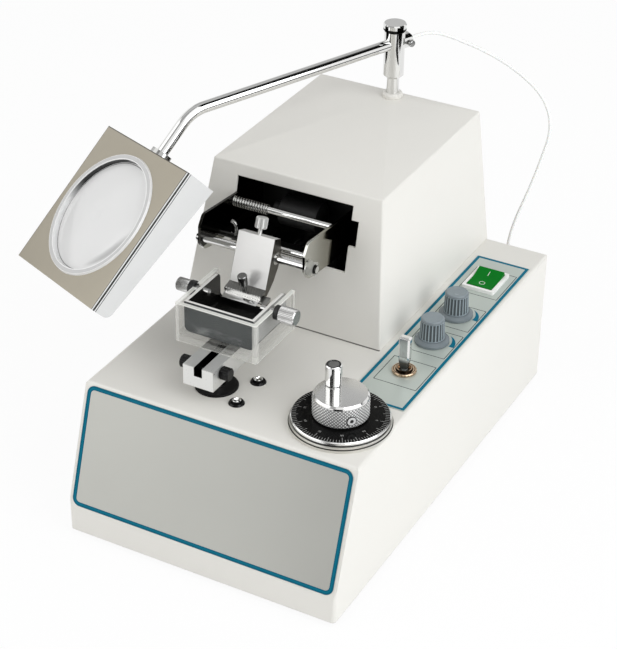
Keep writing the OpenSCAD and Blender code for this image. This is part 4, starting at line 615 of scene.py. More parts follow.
def clamp_finish():
    """Clamp bar with slanting ground lines, with painted highlights on its front."""
    made = bright_finish("clamp_steel", (0.30, 0.30, 0.29), 0.2, edge=0.0003)
    x, y, z = made.axes()
    hatch = ((x + 1.4 * z) * 0.5).wave().ease(0.25, 0.55)
    # Painted highlight: the front is painted bright along the ground lines, which are real.
    front = y.fall(CLAMP_FRONT, CLAMP_FRONT + 0.2)
    dull = made.mix(hatch, (0.16, 0.16, 0.155), (0.19, 0.19, 0.18))
    ground = made.mix(hatch, (0.20, 0.20, 0.195), (0.78, 0.78, 0.76))
    return made.paint(dull, (front, ground))


def head_finish(rgb):
    """Plated swivel head with painted shade in the groove under its cap."""
    made = bright_finish("head_chrome", rgb, 0.05)
    _, _, z = made.axes()
    # Painted shade: the groove under the cap is painted near black.
    return made.repaint(z.within(*HEAD_GROOVE, 0.2), shade(rgb, 0.95), rgb, grey(0.02))


def lens_finish(rgb):
    """Milky lens in a clear ring: the ring is paler along its two edges and seen through between them.

    A painted shadow lies on the wall at the left towards the neck, a painted dark streak on the lens at the
    right away from it.
    """
    made = Finish("lens_clear", ior=1.49, specular_ior_level=0.5)
    x, y, z = made.axes(LENS_FRAME)
    y = y + FRAME_HALF
    out = x.diagonal(y)
    ring = out.ease(LENS_R - 0.1, LENS_R + 0.1)
    line = out.within(LENS_R - 0.3, LENS_R + 0.5, 0.2).most(out.ease(LENS_RING_R - 0.3, LENS_RING_R))
    groove = out.within(LENS_R - 1.3, LENS_R - 0.8, 0.15)
    wall = out.within(LENS_R - 0.25, LENS_R + 0.1, 0.05) * z.fall(FRAME_FACE + 0.9, FRAME_FACE + 1.2)
    # Painted shade: the wall's shadow and the lens's streak are painted dark.
    shadow = wall * (y * 0.743 - x * 0.669).ease(0.55 * LENS_R, 0.9 * LENS_R)
    streak = (out.within(LENS_R * 0.80, LENS_R * 0.86, 3.0)
              * (x * 0.85 - y * 0.53).ease(0.70 * LENS_R, 0.86 * LENS_R))
    cloud = made.noise(40.0)
    dim = shade(rgb, 0.35)
    return made.paint(made.clouded(cloud, rgb, 0.97, 1.0), (groove, dim), (streak * 0.7, dim),
                      (shadow, grey(0.02)), roughness=0.05 + 0.05 * cloud,
                      alpha=(0.86 - 0.2 * ring + 0.6 * line).least(1.0))


def frame_finish(rgb):
    """Plated frame: taupe face, grey bore and flange; its pale sides and dark lines along its long edges
    are painted reflections.
    """
    made = Finish("frame_plated")
    x, y, z = made.axes(LENS_FRAME)
    flange = y.ease(0.1, 0.2)
    # Painted reflection: the sides are painted pale and non-metal, the brow and the lines along the edges
    # are painted dark.
    brow = y.ease(-0.75, -0.6) * z.ease(FRAME_FACE - 0.9, FRAME_FACE - 0.7)
    face = z.ease(FRAME_FACE - 0.12, FRAME_FACE - 0.04)
    bore = x.diagonal(y + FRAME_HALF).fall(LENS_HOLE_R + 0.15, LENS_HOLE_R + 0.35)
    beside = x.size().ease(FRAME_HALF - 3.2, FRAME_HALF - 3.0)
    broad, narrow, hair = (z.within(FRAME_FACE - low, FRAME_FACE - high, soft)
                           for low, high, soft in ((1.5, 0.7, 0.12), (2.8, 2.4, 0.1), (0.16, 0.08, 0.04)))
    groove = broad.most(narrow).most(hair) * beside
    cloud = made.noise(METAL_CLOUD)
    return made.paint((0.68, 0.68, 0.67), (face, made.clouded(cloud, rgb, 0.97, 1.03)),
                      (groove.most(brow * 0.8), grey(0.012)), (bore, (0.42, 0.42, 0.41)),
                      (flange, (0.48, 0.48, 0.47)), metallic=(0.45 * face).most(flange),
                      roughness=0.26 + 0.06 * cloud - 0.2 * flange)


def sheath_finish(rgb):
    """Soft cord sheath with a fine drawn grain."""
    made = Finish("cord_sheath", subsurface_weight=0.05)
    cloud = made.noise(300.0)
    made.paint(made.clouded(cloud, rgb, 0.96, 1.02), roughness=0.42 + 0.1 * cloud)
    return made.bump(cloud, 0.03, 0.0002)


def crease(thing, angle):
    """Smooth shading that stops at edges sharper than the angle."""
    thing.data.polygons.foreach_set("use_smooth", np.ones(len(thing.data.polygons), dtype=bool))
    weld = thing.modifiers.new("weld", "WELD")
    weld.merge_threshold = 1e-6
    split = thing.modifiers.new("crease", "EDGE_SPLIT")
    split.split_angle = math.radians(angle)


def dress(finish, *names):
    """Gives CAD nodes a finish and smooth shading."""
    for name in names:
        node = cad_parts[name]
        for slot in node.material_slots:
            slot.material = finish.material
        crease(node, CREASE_ANGLE)


def ring_faces(rows, columns, closed=False):
    """Quads between neighbouring rows of a grid whose columns close on themselves."""
    row = np.arange(rows if closed else rows - 1)[:, None]
    column = np.arange(columns)[None, :]
    beside = (column + 1) % columns
    above = (row + 1) % rows
    return np.stack([row * columns + column, row * columns + beside,
                     above * columns + beside, above * columns + column], -1).reshape(-1, 4).tolist()


def end_faces(rows, columns):
    """The two flat ends of such a grid."""
    first = list(range(columns))
    return [first[::-1], [column + (rows - 1) * columns for column in first]]


def circle(steps):
    """Points of a circle of radius 1, counter-clockwise from the X axis."""
    turn = np.linspace(0.0, 2.0 * math.pi, steps, endpoint=False)
    return np.stack([np.cos(turn), np.sin(turn)], -1)


def level(outline, height):
    """A flat outline at a height."""
    return np.column_stack([outline, np.full(len(outline), height)])


def lathe(profile, steps):
    """Radius and height pairs, from the bottom up, carried round the Z axis."""
    rows = [level(radius * circle(steps), height) for radius, height in profile]
    return np.vstack(rows), ring_faces(len(rows), steps) + end_faces(len(rows), steps)


def tube(path, radius, sides, guide):
    """A circle carried along a path; its first side lies across the path and the guide direction."""
    along = np.gradient(path, axis=0)
    along /= np.linalg.norm(along, axis=1, keepdims=True)
    across = np.cross(along, guide)
    across /= np.linalg.norm(across, axis=1, keepdims=True)
    third = np.cross(along, across)
    one, two = circle(sides).T[:, None, :, None]
    points = path[:, None] + radius * (one * across[:, None] + two * third[:, None])
    return points.reshape(-1, 3), ring_faces(len(path), sides) + end_faces(len(path), sides)


def curve_through(points, steps):
    """A Catmull-Rom curve: cubics between points, whose slopes are half the step between the neighbours."""
    points = np.asarray(points, float)
    before = np.vstack([points[:1], points[:-2]])
    start, end = points[:-1], points[1:]
    after = np.vstack([points[2:], points[-1:]])
    t = (np.arange(steps) / steps)[None, :, None]
    a, b, c, d = (part[:, None] for part in (before, start, end, after))
    inner = 0.5 * (2 * b + (c - a) * t + (2 * a - 5 * b + 4 * c - d) * t ** 2
                   + (3 * b - a - 3 * c + d) * t ** 3)
    return np.vstack([inner.reshape(-1, 3), points[-1:]])


def rounded(width, depth, radius, steps=7):
    """Outline of a rectangle with round corners: four quarter circles, counter-clockwise."""
    turn = np.linspace(0.0, math.pi / 2, steps)
    corners = []
    for quarter, (sx, sy) in enumerate(((1, 1), (-1, 1), (-1, -1), (1, -1))):
        angle = turn + quarter * math.pi / 2
        corners.append(np.stack([sx * (width / 2 - radius) + radius * np.cos(angle),
                                 sy * (depth / 2 - radius) + radius * np.sin(angle)], -1))
    return np.vstack(corners)


def band(outer, inner, low, high):
    """A flat ring between two outlines with the same number of points, from low to high."""
    rows = [level(*row) for row in ((outer, low), (outer, high), (inner, high), (inner, low))]
    return np.vstack(rows), ring_faces(4, len(outer), closed=True)


def plate(outline, low, high):
    """A flat plate inside an outline, from low to high."""
    return (np.vstack([level(outline, low), level(outline, high)]),
            ring_faces(2, len(outline)) + end_faces(2, len(outline)))


def spokes(angles, inner, outer, width):
    """Outlines of radial strokes at the angles, between two radii."""
    angles, inner, outer = np.broadcast_arrays(angles, inner, outer)
    out = np.stack([np.cos(angles), np.sin(angles)], -1)
    side = np.stack([-np.sin(angles), np.cos(angles)], -1) * width / 2
    inner, outer = out * inner[:, None], out * outer[:, None]
    return np.stack([inner - side, outer - side, outer + side, inner + side], 1)


def lettering(text, size, thickness):
    """Plain characters as a mesh in the XY plane, centred on the origin."""
    curve = bpy.data.curves.new("characters", "FONT")
    curve.body = text
    curve.size = size
    curve.extrude = thickness / 2
    curve.align_x = "CENTER"
    curve.align_y = "CENTER"
    holder = bpy.data.objects.new("characters", curve)
    bpy.context.scene.collection.objects.link(holder)
    bpy.context.view_layer.update()
    mesh = bpy.data.meshes.new_from_object(holder.evaluated_get(bpy.context.evaluated_depsgraph_get()))
    points = np.empty(len(mesh.vertices) * 3)
    mesh.vertices.foreach_get("co", points)
    faces = [list(face.vertices) for face in mesh.polygons]
    bpy.data.objects.remove(holder)
    bpy.data.curves.remove(curve)
    bpy.data.meshes.remove(mesh)
    return points.reshape(-1, 3), faces


def placed(part, origin, across=(1, 0, 0), up=(0, 1, 0)):
    """A part moved from its own frame to an origin and two directions."""
    points, faces = part
    across = np.asarray(across, float) / np.linalg.norm(across)
    up = np.asarray(up, float) / np.linalg.norm(up)
    return points @ np.stack([across, up, np.cross(across, up)]) + np.asarray(origin, float), faces


def joined(parts):
    """Several parts as one."""
    points, faces, start = [], [], 0
    for some_points, some_faces in parts:
        points.append(some_points)
        faces += [[index + start for index in face] for face in some_faces]
        start += len(some_points)
    return np.vstack(points), faces


def make(name, part, finish, body, angle=CREASE_ANGLE):
    """One new piece from a part in millimetres, in its finish, riding on a body."""
    points, faces = part
    mesh = bpy.data.meshes.new(name)
    mesh.from_pydata((points * MM).tolist(), [], faces)
    mesh.update()
    piece = bpy.data.objects.new(name, mesh)
    bpy.context.scene.collection.objects.link(piece)
    mesh.materials.append(finish.material)
    crease(piece, angle)
    if body is not None:
        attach(piece, body)
    return piece


class SlicerOperator:
    """Shared by the operators below."""

    bl_options = {"REGISTER", "UNDO"}


class SLICER_OT_stage(SlicerOperator, bpy.types.Operator):
    """Pale floor, soft lamps, black and grey cards for the metal to mirror, and the camera"""

    bl_idname = "slicer.stage"
    bl_label = "Stage"

    def execute(self, context):
        context.scene.view_settings.view_transform = "Standard"
        self.floor()
        self.surround()
        self.lamp("lamp_right", (1.45, -0.25, 1.0), (0.0, 0.0, 0.12), 1.7, 22.5, (0.955, 0.975, 1.0))
        self.lamp("lamp_top", (-0.1, 0.1, 1.7), (0.0, 0.0, 0.1), 2.2, 2.5)
        self.lamp("lamp_left", (-1.2, -1.1, 0.9), (0.0, 0.0, 0.12), 1.9, 12.5)
        for card in (
                ("card_back", (-0.85, 2.2, 1.72), (3.3, 2.55), (90, 0, 0), 0.6),
                ("card_top", (-1.05, 0.1, 1.68), (2.3, 3.6), (0, 0, 0), 0.42),
                ("card_over", (0.85, 0.95, 1.68), (1.5, 1.4)),
                ("card_over_right", (1.5, 0.85, 1.44), (0.5, 1.2), (0, 90, 0)),
                ("card_left", (-1.8, -0.2, 0.32), (0.4, 1.6), (0, 90, 0)),
                ("card_front", (0.21, -0.6, 0.26), (0.72, 0.52), (90, 0, 0)),
                ("card_low_front", (0.145, -0.33, 0.002), (0.13, 0.26), (0, 0, 28)),
                ("card_low_right", (0.41, -0.08, 0.002), (0.22, 0.36)),
                ("card_side", (0.25, 0.18, 0.175), (0.075, 0.56), (0, 90, 0)),
                ("card_low_left", (-0.68, -0.3, 0.002), (0.45, 0.8))):
            self.card(*card)
        self.camera()
        return {"FINISHED"}

    @staticmethod
    def seen(nodes):
        """1 for rays that see the background: from the camera, by mirroring or through glass."""
        camera, glossy, through = (nodes.node("LightPath", {}, {}, out) for out in (0, 3, 6))
        return camera.most(glossy).most(through)

    @staticmethod
    def sheet(name, finish, size, place=(0, 0, 0), turn=(0, 0, 0)):
        """A flat rectangle of the stage, turned by degrees."""
        x, y = size[0] / 2, size[1] / 2
        mesh = bpy.data.meshes.new(name)
        mesh.from_pydata([(-x, -y, 0), (x, -y, 0), (x, y, 0), (-x, y, 0)], [], [(0, 1, 2, 3)])
        mesh.materials.append(finish.material)
        sheet = bpy.data.objects.new(name, mesh)
        sheet.location = place
        sheet.rotation_euler = [math.radians(angle) for angle in turn]
        bpy.context.scene.collection.objects.link(sheet)
        return sheet

    def card(self, name, place, size, turn=(0, 0, 0), glow=0.0):
        """A black or grey sheet that only mirrors see."""
        finish = Finish(name, base_color=BLACK, roughness=1.0, specular_ior_level=0.0,
                        emission_color=grey(glow), emission_strength=1.0)
        card = self.sheet(name, finish, size, place, turn)
        card.visible_camera = False
        card.visible_diffuse = False
        card.visible_shadow = False

    def floor(self):
        made = Finish("floor_white", base_color=grey(0.9), roughness=0.8)
        plain = Signal(made, made.shader.outputs[0])
        glow = made.node("Emission", {}, {0: grey(1.0)})
        both = made.node("MixShader", {}, {0: self.seen(made) * 0.92, 1: plain, 2: glow})
        made.feed(made.tree.nodes["Material Output"].inputs[0], both)
        self.sheet("floor", made, (16, 16))

    def surround(self):
        world = bpy.data.worlds.new("white_room")
        world.use_nodes = True
        bpy.context.scene.world = world
        made = Nodes(world.node_tree)
        glow = made.tree.nodes["Background"]
        made.feed(glow.inputs[0], grey(1.0))
        made.feed(glow.inputs[1], 0.53 + 0.47 * self.seen(made))

    @staticmethod
    def lamp(name, place, target, size, watts, tint=(1.0, 1.0, 1.0)):
        lamp = bpy.data.lights.new(name, "AREA")
        lamp.color = tint
        lamp.size = size
        lamp.energy = watts
        holder = bpy.data.objects.new(name, lamp)
        holder.location = place
        aim = np.asarray(target) - np.asarray(place)
        holder.rotation_euler = Euler((math.acos(-aim[2] / np.linalg.norm(aim)), 0.0,
                                       math.atan2(aim[1], aim[0]) - math.pi / 2))
        bpy.context.scene.collection.objects.link(holder)

    @staticmethod
    def camera():
        camera = bpy.data.cameras.new("photo_camera")
        camera.lens = 106.25
        camera.sensor_width = 36.0
        eye = bpy.data.objects.new("photo_camera", camera)
        eye.location = (0.54210, -1.03449, 0.84357)
        eye.rotation_euler = [math.radians(angle) for angle in (57.8749, -0.6491, 28.4911)]
        bpy.context.scene.collection.objects.link(eye)
        bpy.context.scene.camera = eye


class SLICER_OT_cord(SlicerOperator, bpy.types.Operator):
    """Lamp cord from the arm's rear end to the gland"""

    bl_idname = "slicer.cord"
    bl_label = "Lamp cord"

    def execute(self, context):
        sizes, colours = context.scene.slicer_sizes, context.scene.slicer_colours
        path = curve_through(CORD_ROUTE, 6)
        part = tube(path, sizes.cord_diameter / MM / 2, 16, (0.93, -0.37, 0.02))
        cord = make("lamp_cord_sheath", part, sheath_finish(colours.cord), None)
        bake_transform(cord)
        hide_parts("lamp_cord")
        return {"FINISHED"}


class SLICER_OT_housing(SlicerOperator, bpy.types.Operator):
    """Enamelled housing and cowl, the bare front panel and its printed border"""

    bl_idname = "slicer.housing"
    bl_label = "Housing"

    def execute(self, context):
        sizes, colours = context.scene.slicer_sizes, context.scene.slicer_colours
        dress(enamel_finish("housing_enamel", colours.enamel), "base_housing", "post_collar")
        dress(cowl_finish(colours.enamel), "cowl")
        dress(film_finish("front_film", colours.film), "front_panel")
        dress(film_finish("control_film", colours.strip), "control_panel")
        dress(bright_finish("plate_zinc", (0.55, 0.56, 0.56), 0.35), "base_plate")
        dress(moulded_finish("ring_rubber", grey(0.02), 0.7), "rubber_ring")
        face = math.hypot(SLOPE_RUN, SLOPE_RISE)
        width, height = PANEL_W - 0.1, face - PANEL_LIP - 0.1
        line = sizes.border_front / MM
        high = sizes.print_height / MM
        rise = np.array((0.0, SLOPE_RUN, SLOPE_RISE))
        out = np.array((0.0, -SLOPE_RISE, SLOPE_RUN)) / face
        for name, ink, rgb, edges, lift in (
                ("front_border", "border_ink", colours.border, (0.0, 1.0), PANEL_FLAT),
                ("front_border_line", "stripe_ink", colours.stripe, (0.4, 0.75), PANEL_FLAT + high)):
            outlines = [rounded(width - 2 * off, height - 2 * off, PANEL_CORNER - 0.95 * off)
                        for off in (share * line for share in edges)]
            part = placed(band(*outlines, 0.0, high), SLOPE_FOOT + rise / 2 + out * lift, up=rise)
            make(name, part, print_finish(ink, rgb), "base")
        return {"FINISHED"}


class SLICER_OT_controls(SlicerOperator, bpy.types.Operator):
    """Control panel's printed lines, toggle, knobs and mains rocker"""

    bl_idname = "slicer.controls"
    bl_label = "Controls"

    def execute(self, context):
        sizes, colours = context.scene.slicer_sizes, context.scene.slicer_colours
        self.lines(sizes, colours)
        dress(knob_finish(colours.knob), "speed_knob", "amplitude_knob")
        dress(lever_finish(colours.bright), "toggle_lever")
        dress(turned_finish("nut_bronze", colours.brass), "toggle_nut")
        dress(turned_finish("bush_bronze", shade(colours.brass, 0.7)), "toggle_body")
        dress(moulded_finish("bezel_moulding", colours.bezel, 0.3), "rocker_bezel")
        green = moulded_finish("rocker_moulding", colours.rocker, 0.3, 0.02)
        dress(green.set(specular_ior_level=0.05), "rocker")
        dress(moulded_finish("board_mask", (0.02, 0.16, 0.06), 0.35), "control_board")
        self.marks()
        return {"FINISHED"}

    def lines(self, sizes, colours):
        """The strip's border with a crescent beside each knob, and a thin frame round each group."""
        high = sizes.print_height / MM
        line = sizes.border_control / MM
        fine = sizes.frame_line / MM
        width, depth = CONTROL_W - 1.0, CONTROL_Y[1] - CONTROL_Y[0] - 1.0
        inside = rounded(width - 2 * line, depth - 2 * line, 0.4)
        border = band(rounded(width, depth, 0.8), inside, 0.0, high)
        parts = [placed(border, (CONTROL_X, sum(CONTROL_Y) / 2, PANEL_Z))]
        parts += [placed(self.crescent(high), (CONTROL_X, y, PANEL_Z)) for y in KNOBS_Y]
        ink = print_finish("control_border_ink", shade(colours.border, 1.35))
        make("control_border", joined(parts), ink, "base")
        frames = []
        for low, top in CONTROL_FRAMES:
            outer = rounded(CONTROL_FRAME_W, top - low, 0.6, 4)
            inner = rounded(CONTROL_FRAME_W - 2 * fine, top - low - 2 * fine, 0.3, 4)
            middle = (CONTROL_FRAME_X, (low + top) / 2, PANEL_Z)
            frames.append(placed(band(outer, inner, 0.0, high), middle))
        thin = print_finish("control_line_ink", colours.line)
        make("control_lines", joined(frames), thin, "base")

    @staticmethod
    def crescent(high):
        """A crescent beside a knob: two arcs round its axis that come together from front to rear.

        The outer radius falls with the square of the turn's share, the inner one rises with the share.
        """
        share = np.linspace(0.0, 1.0, 24)
        turn = np.radians(np.linspace(*CRESCENT_TURN, 24))
        outer, inner = ((radius * np.stack([np.cos(turn), np.sin(turn)])).T
                        for radius in (17.2 - 1.9 * share ** 2, 13.4 + 1.8 * share))
        return plate(np.vstack([outer, inner[::-1]]), 0.0, high)

    @staticmethod
    def marks():
        """A stroke and a ring on the rocker's two faces, which meet in a valley above its pivot."""
        tip = math.radians(ROCKER_ANGLE)
        pivot = np.array((CONTROL_X, ROCKER_Y, DECK_Z))
        valley = pivot + ROCKER_VALLEY * np.array((0.0, -math.sin(tip), math.cos(tip)))
        stroke = plate(rounded(0.4, 4.6, 0.15, 3), -0.02, 0.05)
        ring = band(circle(40) * 2.2, circle(40) * 1.88, -0.02, 0.05)
        parts = []
        for mark, side, lean in ((stroke, 1, 2 * tip), (ring, -1, 0.0)):
            up = np.array((0.0, math.cos(lean), math.sin(lean)))
            parts.append(placed(mark, valley + side * ROCKER_MARK * up, up=up))
        white = print_finish("rocker_marks_ink", (0.85, 0.87, 0.85))
        make("rocker_marks", joined(parts), white, "rocker")


class SLICER_OT_dial(SlicerOperator, bpy.types.Operator):
    """Graduated disc, knurled hub with its set screw, and the crank pin"""

    bl_idname = "slicer.dial"
    bl_label = "Lift dial"

    def execute(self, context):
        sizes, colours = context.scene.slicer_sizes, context.scene.slicer_colours
        bright = bright_finish("dial_bright", colours.bright, 0.09, 500.0, relief=0.005, edge=0.0003)
        dress(bright, "dial_hub", "dial_shaft")
        dress(sleeve_finish(colours.bright), "crank_sleeve")
        dress(ring_finish(), "dial_base")
        dress(disc_finish(colours.bright), "dial_disc")
        self.graduation(sizes)
        self.knurl(sizes, colours)
        self.set_screw(colours)
        ring = lathe([(4.15, -0.1), (4.15, 0.1), (3.95, 0.2), (2.9, 0.2), (2.8, 0.05)], 40)
        dark = moulded_finish("pin_ring_dark", grey(0.012), 0.3)
        make("crank_ring", placed(ring, (*CRANK, CRANK_HEAD)), dark, "dial")
        cap = lathe([(3.6, 0.0), (3.6, 0.28), (3.3, 0.4), (0.4, 0.42)], 40)
        pale = moulded_finish("pin_cap_grey", (0.12, 0.12, 0.115), 0.35)
        make("crank_cap", placed(cap, (*CRANK, CRANK_HEAD)), pale, "dial")
        return {"FINISHED"}

    @staticmethod
    def graduation(sizes):
        """Radial strokes round the disc's rim, longer at every fifth and tenth, with plain numbers."""
        step = np.arange(sizes.dial_marks)
        tenth, fifth, other = STROKES_IN
        inner = np.where(step % 10 == 0, tenth, np.where(step % 5 == 0, fifth, other))
        turn = 2 * math.pi * step / sizes.dial_marks + DIAL_PHASE
        strokes = spokes(turn, inner, STROKES_OUT, STROKE_W)
        parts = [placed(joined([plate(stroke, 0.0, 0.03) for stroke in strokes]), (*DIAL, DISC_TOP))]
        for number in range(0, sizes.dial_marks, 10):
            out = np.array((math.cos(turn[number]), math.sin(turn[number]), 0.0))
            spot = np.array((*DIAL, DISC_TOP + 0.015)) + out * NUMBERS_R
            text = lettering(str(number), sizes.dial_number / MM, 0.03)
            parts.append(placed(text, spot, (-out[1], out[0], 0.0), -out))
        pale = print_finish("dial_marks_ink", (0.30, 0.30, 0.29))
        make("dial_graduation", joined(parts), pale, "dial")

    @staticmethod
    def knurl(sizes, colours):
        """Hub's side: a cylinder whose radius rises in diamonds, the smaller of two crossed waves."""
        teeth, steps, rows = sizes.knurl_teeth, 6, 61
        ring = circle(teeth * steps)
        foot, crest = 1.2, HUB_TOP - DISC_TOP - 2.4
        height = np.linspace(foot, crest, rows)[:, None]
        pitch = 2 * math.pi * HUB_R / teeth
        tooth = np.arange(len(ring)) / steps
        one, two = (np.abs((tooth + way * height / pitch) % 1.0 - 0.5) * 2 for way in (1, -1))
        fade = np.clip((height - foot) / 0.5, 0, 1) * np.clip((crest - height) / 0.5, 0, 1)
        radius = HUB_R + 0.02 + 0.45 * np.minimum(one, two) * fade
        side = [level(reach[:, None] * ring, up) for reach, up in zip(radius, height[:, 0])]
        lowest, highest = (level((HUB_R - 0.1) * ring, end) for end in (foot, crest))
        points = np.vstack([lowest, *side, highest])
        part = placed((points, ring_faces(rows + 2, len(ring), closed=True)), (*DIAL, DISC_TOP))
        make("hub_knurl", part, knurl_finish(colours.bright), "dial", 50.0)

    @staticmethod
    def set_screw(colours):
        """Socket screw in the hub's side: a countersunk seat and a hexagon painted dark for the shade in
        them, and a steel ring.
        """
        out = np.array((math.cos(SET_SCREW_TURN), math.sin(SET_SCREW_TURN), 0.0))
        spot = np.array((*DIAL, DISC_TOP + SET_SCREW_UP)) + out * (HUB_R + 0.1)
        where = (spot, (-out[1], out[0], 0.0), (0.0, 0.0, 1.0))
        rim = circle(36)
        turn = np.linspace(0, 2 * math.pi, 36, endpoint=False) % (math.pi / 3)
        hexagon = rim * (SET_SCREW_HEX * math.cos(math.pi / 6) / np.cos(turn - math.pi / 6))[:, None]
        # Painted shade: the seat and the socket's hexagon are dark sheets where shade falls in the recess.
        dark = moulded_finish("screw_seat_shade", grey(0.015), 0.5)
        seat = joined([plate(rim * SET_SCREW_SEAT, 0.0, 0.42), plate(hexagon, 0.43, 0.46)])
        make("set_screw_seat", placed(seat, *where), dark, "dial")
        steel = bright_finish("set_screw_steel", colours.bright, 0.35).set(metallic=0.35)
        head = band(rim * SET_SCREW_R, hexagon, 0.3, 0.6)
        make("set_screw", placed(head, *where), steel, "dial")


class SLICER_OT_lift(SlicerOperator, bpy.types.Operator):
    """Lift post, slotted block, its thumb screws, the seal and the deck screws"""

    bl_idname = "slicer.lift"
    bl_label = "Lift"

    def execute(self, context):
        colours = context.scene.slicer_colours
        dress(block_finish(), "stage_block")
        dress(bright_finish("post_bright", colours.bright, 0.1), "lift_post", "lift_pulley")
        dress(moulded_finish("seal_rubber", grey(0.006), 0.42).set(specular_ior_level=0.12), "lift_seal")
        dress(moulded_finish("thumb_black", BLACK, 0.04).set(specular_ior_level=0.2),
              "block_screw_right", "block_screw_left")
        dress(cup_finish(colours.bright), "deck_screws")
        dress(bright_finish("bracket_cast", grey(0.5), 0.4), "lift_bracket")
        dress(moulded_finish("belt_rubber", grey(0.02), 0.6), "drive_belt")
        return {"FINISHED"}


class SLICER_OT_bath(SlicerOperator, bpy.types.Operator):
    """Clear bath and the dark tray that hangs in it"""

    bl_idname = "slicer.bath"
    bl_label = "Bath and tray"

    def execute(self, context):
        colours = context.scene.slicer_colours
        dress(bath_finish((0.82, 0.82, 0.77)), "ice_bath")
        dress(tray_finish(), "specimen_tray")
        dress(moulded_finish("washer_black", grey(0.012), 0.4), "tray_washers")
        dress(bright_finish("tray_screw_metal", shade(colours.bright, 0.65), 0.18),
              "tray_screw_left", "tray_screw_right")
        return {"FINISHED"}


class SLICER_OT_carriage(SlicerOperator, bpy.types.Operator):
    """Polished carriage plates and rods, the coil spring, its hooked wire and the drive behind"""

    bl_idname = "slicer.carriage"
    bl_label = "Carriage"

    def execute(self, context):
        sizes, colours = context.scene.slicer_sizes, context.scene.slicer_colours
        dress(plate_finish(), "left_plate", "right_plate")
        dress(rod_finish(colours.bright), "carriage_rods")
        wire = bright_finish("spring_wire", (0.45, 0.45, 0.43), 0.14)
        spring = make("return_coil", self.coil(sizes), wire, "carriage")
        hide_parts("return_spring")
        dress(bright_finish("beam_black", grey(0.03), 0.4), "feed_beam", "feed_frame")
        dress(bright_finish("screw_steel", (0.6, 0.6, 0.58), 0.2), "feed_screw", "vibration_bush")
        # Painted shade: the motors inside the cowl are made near black for the shade they sit in.
        dress(moulded_finish("motor_dark", grey(0.01), 0.5), "feed_motor", "vibration_motor")
        hook = curve_through([(x, GUIDE_ROD[0], z) for x, z in HOOK_ROUTE], 8)
        dark = bright_finish("hook_dark", (0.34, 0.34, 0.33), 0.12)
        make("hook_wire", tube(hook, 1.3, 16, (0.02, 1.0, 0.03)), dark, "carriage")
        return {"FINISHED"}

    @staticmethod
    def coil(sizes):
        """A helix round the rear rod; the pitch eases to the wire's own width at both ends."""
        turns, wire = sizes.spring_turns, sizes.spring_wire / MM
        radius, run = sizes.spring_diameter / MM / 2, sizes.spring_length / MM
        t = np.linspace(0.0, 1.0, turns * 40 + 1)
        flat = 1.0 / turns
        ends = np.minimum(t / flat, 1) + np.clip((t - 1 + flat) / flat, 0, 1)
        height = wire * ends + (run - 3 * wire) * np.clip((t - flat) / (1 - 2 * flat), 0, 1)
        angle = 2 * math.pi * turns * t
        path = np.stack([SPRING_START + wire / 2 + height, REAR_ROD[0] + radius * np.cos(angle),
                         REAR_ROD[1] + radius * np.sin(angle)], -1)
        return tube(path, wire / 2, 12, (1.0, 0.0, 0.0))


class SLICER_OT_blade(SlicerOperator, bpy.types.Operator):
    """Blade arm, jaws, blade and their two screws"""

    bl_idname = "slicer.blade"
    bl_label = "Blade holder"

    def execute(self, context):
        colours = context.scene.slicer_colours
        dress(arm_finish(), "blade_arm")
        dress(bright_finish("jaw_steel", (0.36, 0.36, 0.35), 0.24), "blade_jaw")
        dress(clamp_finish(), "clamp_bar")
        dress(bright_finish("blade_steel", colours.bright, 0.1, 900.0, (0.1, 1, 1)), "blade")
        dress(bright_finish("clamp_screw_dark", (0.20, 0.20, 0.195), 0.2), "clamp_screw")
        dress(bright_finish("tilt_screw_metal", (0.72, 0.72, 0.70), 0.28).set(metallic=0.7), "tilt_screw")
        return {"FINISHED"}


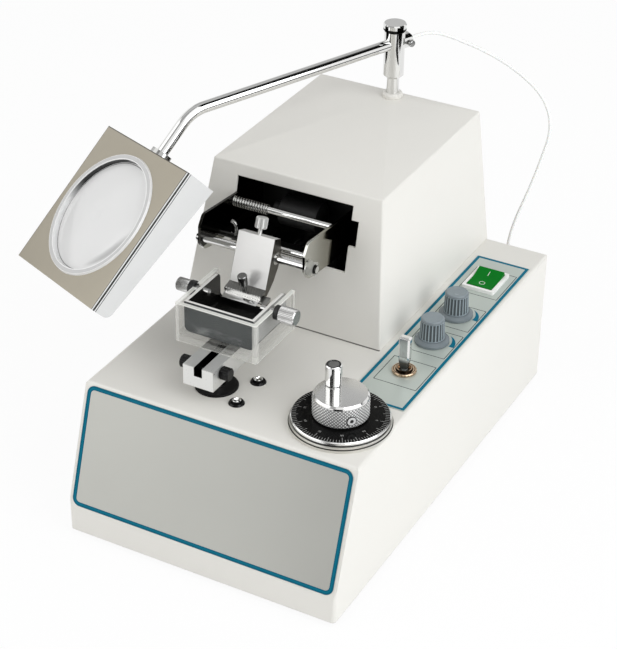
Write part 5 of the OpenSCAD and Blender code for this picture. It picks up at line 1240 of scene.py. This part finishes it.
class SLICER_OT_magnifier(SlicerOperator, bpy.types.Operator):
    """Lamp post, swivel head, bent arm and the square lens frame"""

    bl_idname = "slicer.magnifier"
    bl_label = "Magnifier"

    def execute(self, context):
        colours = context.scene.slicer_colours
        dress(bright_finish("arm_chrome", colours.bright, 0.05), "lamp_post", "arm_tube")
        dress(head_finish(colours.bright), "post_head")
        dress(bright_finish("head_screw_chrome", shade(colours.bright, 0.45), 0.06), "head_screw")
        dress(frame_finish(colours.taupe), "lens_frame")
        dress(moulded_finish("back_moulding", (0.5, 0.5, 0.48), 0.35), "lens_back")
        dress(lens_finish((0.85, 0.85, 0.845)), "lens")
        return {"FINISHED"}


class SLICER_OT_rear(SlicerOperator, bpy.types.Operator):
    """Mains inlet and the cord's gland"""

    bl_idname = "slicer.rear"
    bl_label = "Rear fittings"

    def execute(self, context):
        dress(moulded_finish("inlet_moulding", grey(0.016), 0.4), "power_inlet")
        dress(moulded_finish("gland_moulding", grey(0.018), 0.38), "cord_gland")
        return {"FINISHED"}


OPERATORS = (SLICER_OT_stage, SLICER_OT_cord, SLICER_OT_housing, SLICER_OT_controls, SLICER_OT_dial,
             SLICER_OT_lift, SLICER_OT_bath, SLICER_OT_carriage, SLICER_OT_blade, SLICER_OT_magnifier,
             SLICER_OT_rear)


class SLICER_PT_looks(bpy.types.Panel):
    """Sizes, colours and the steps in order"""

    bl_idname = "SLICER_PT_looks"
    bl_label = "Tissue slicer"
    bl_space_type = "VIEW_3D"
    bl_region_type = "UI"
    bl_category = "Slicer"

    def draw(self, context):
        layout = self.layout
        for group in (context.scene.slicer_sizes, context.scene.slicer_colours):
            box = layout.box()
            for name in group.__annotations__:
                box.prop(group, name)
        for operator in OPERATORS:
            layout.operator(operator.bl_idname)


CLASSES = (SlicerSizes, SlicerColours, *OPERATORS, SLICER_PT_looks)


def register():
    for entry in CLASSES:
        bpy.utils.register_class(entry)
    bpy.types.Scene.slicer_sizes = bpy.props.PointerProperty(type=SlicerSizes)
    bpy.types.Scene.slicer_colours = bpy.props.PointerProperty(type=SlicerColours)


def unregister():
    del bpy.types.Scene.slicer_colours
    del bpy.types.Scene.slicer_sizes
    for entry in reversed(CLASSES):
        bpy.utils.unregister_class(entry)


def main():
    """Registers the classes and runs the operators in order."""
    register()
    for operator in OPERATORS:
        group, name = operator.bl_idname.split(".")
        getattr(getattr(bpy.ops, group), name)()


if __name__ == "__main__":
    main()
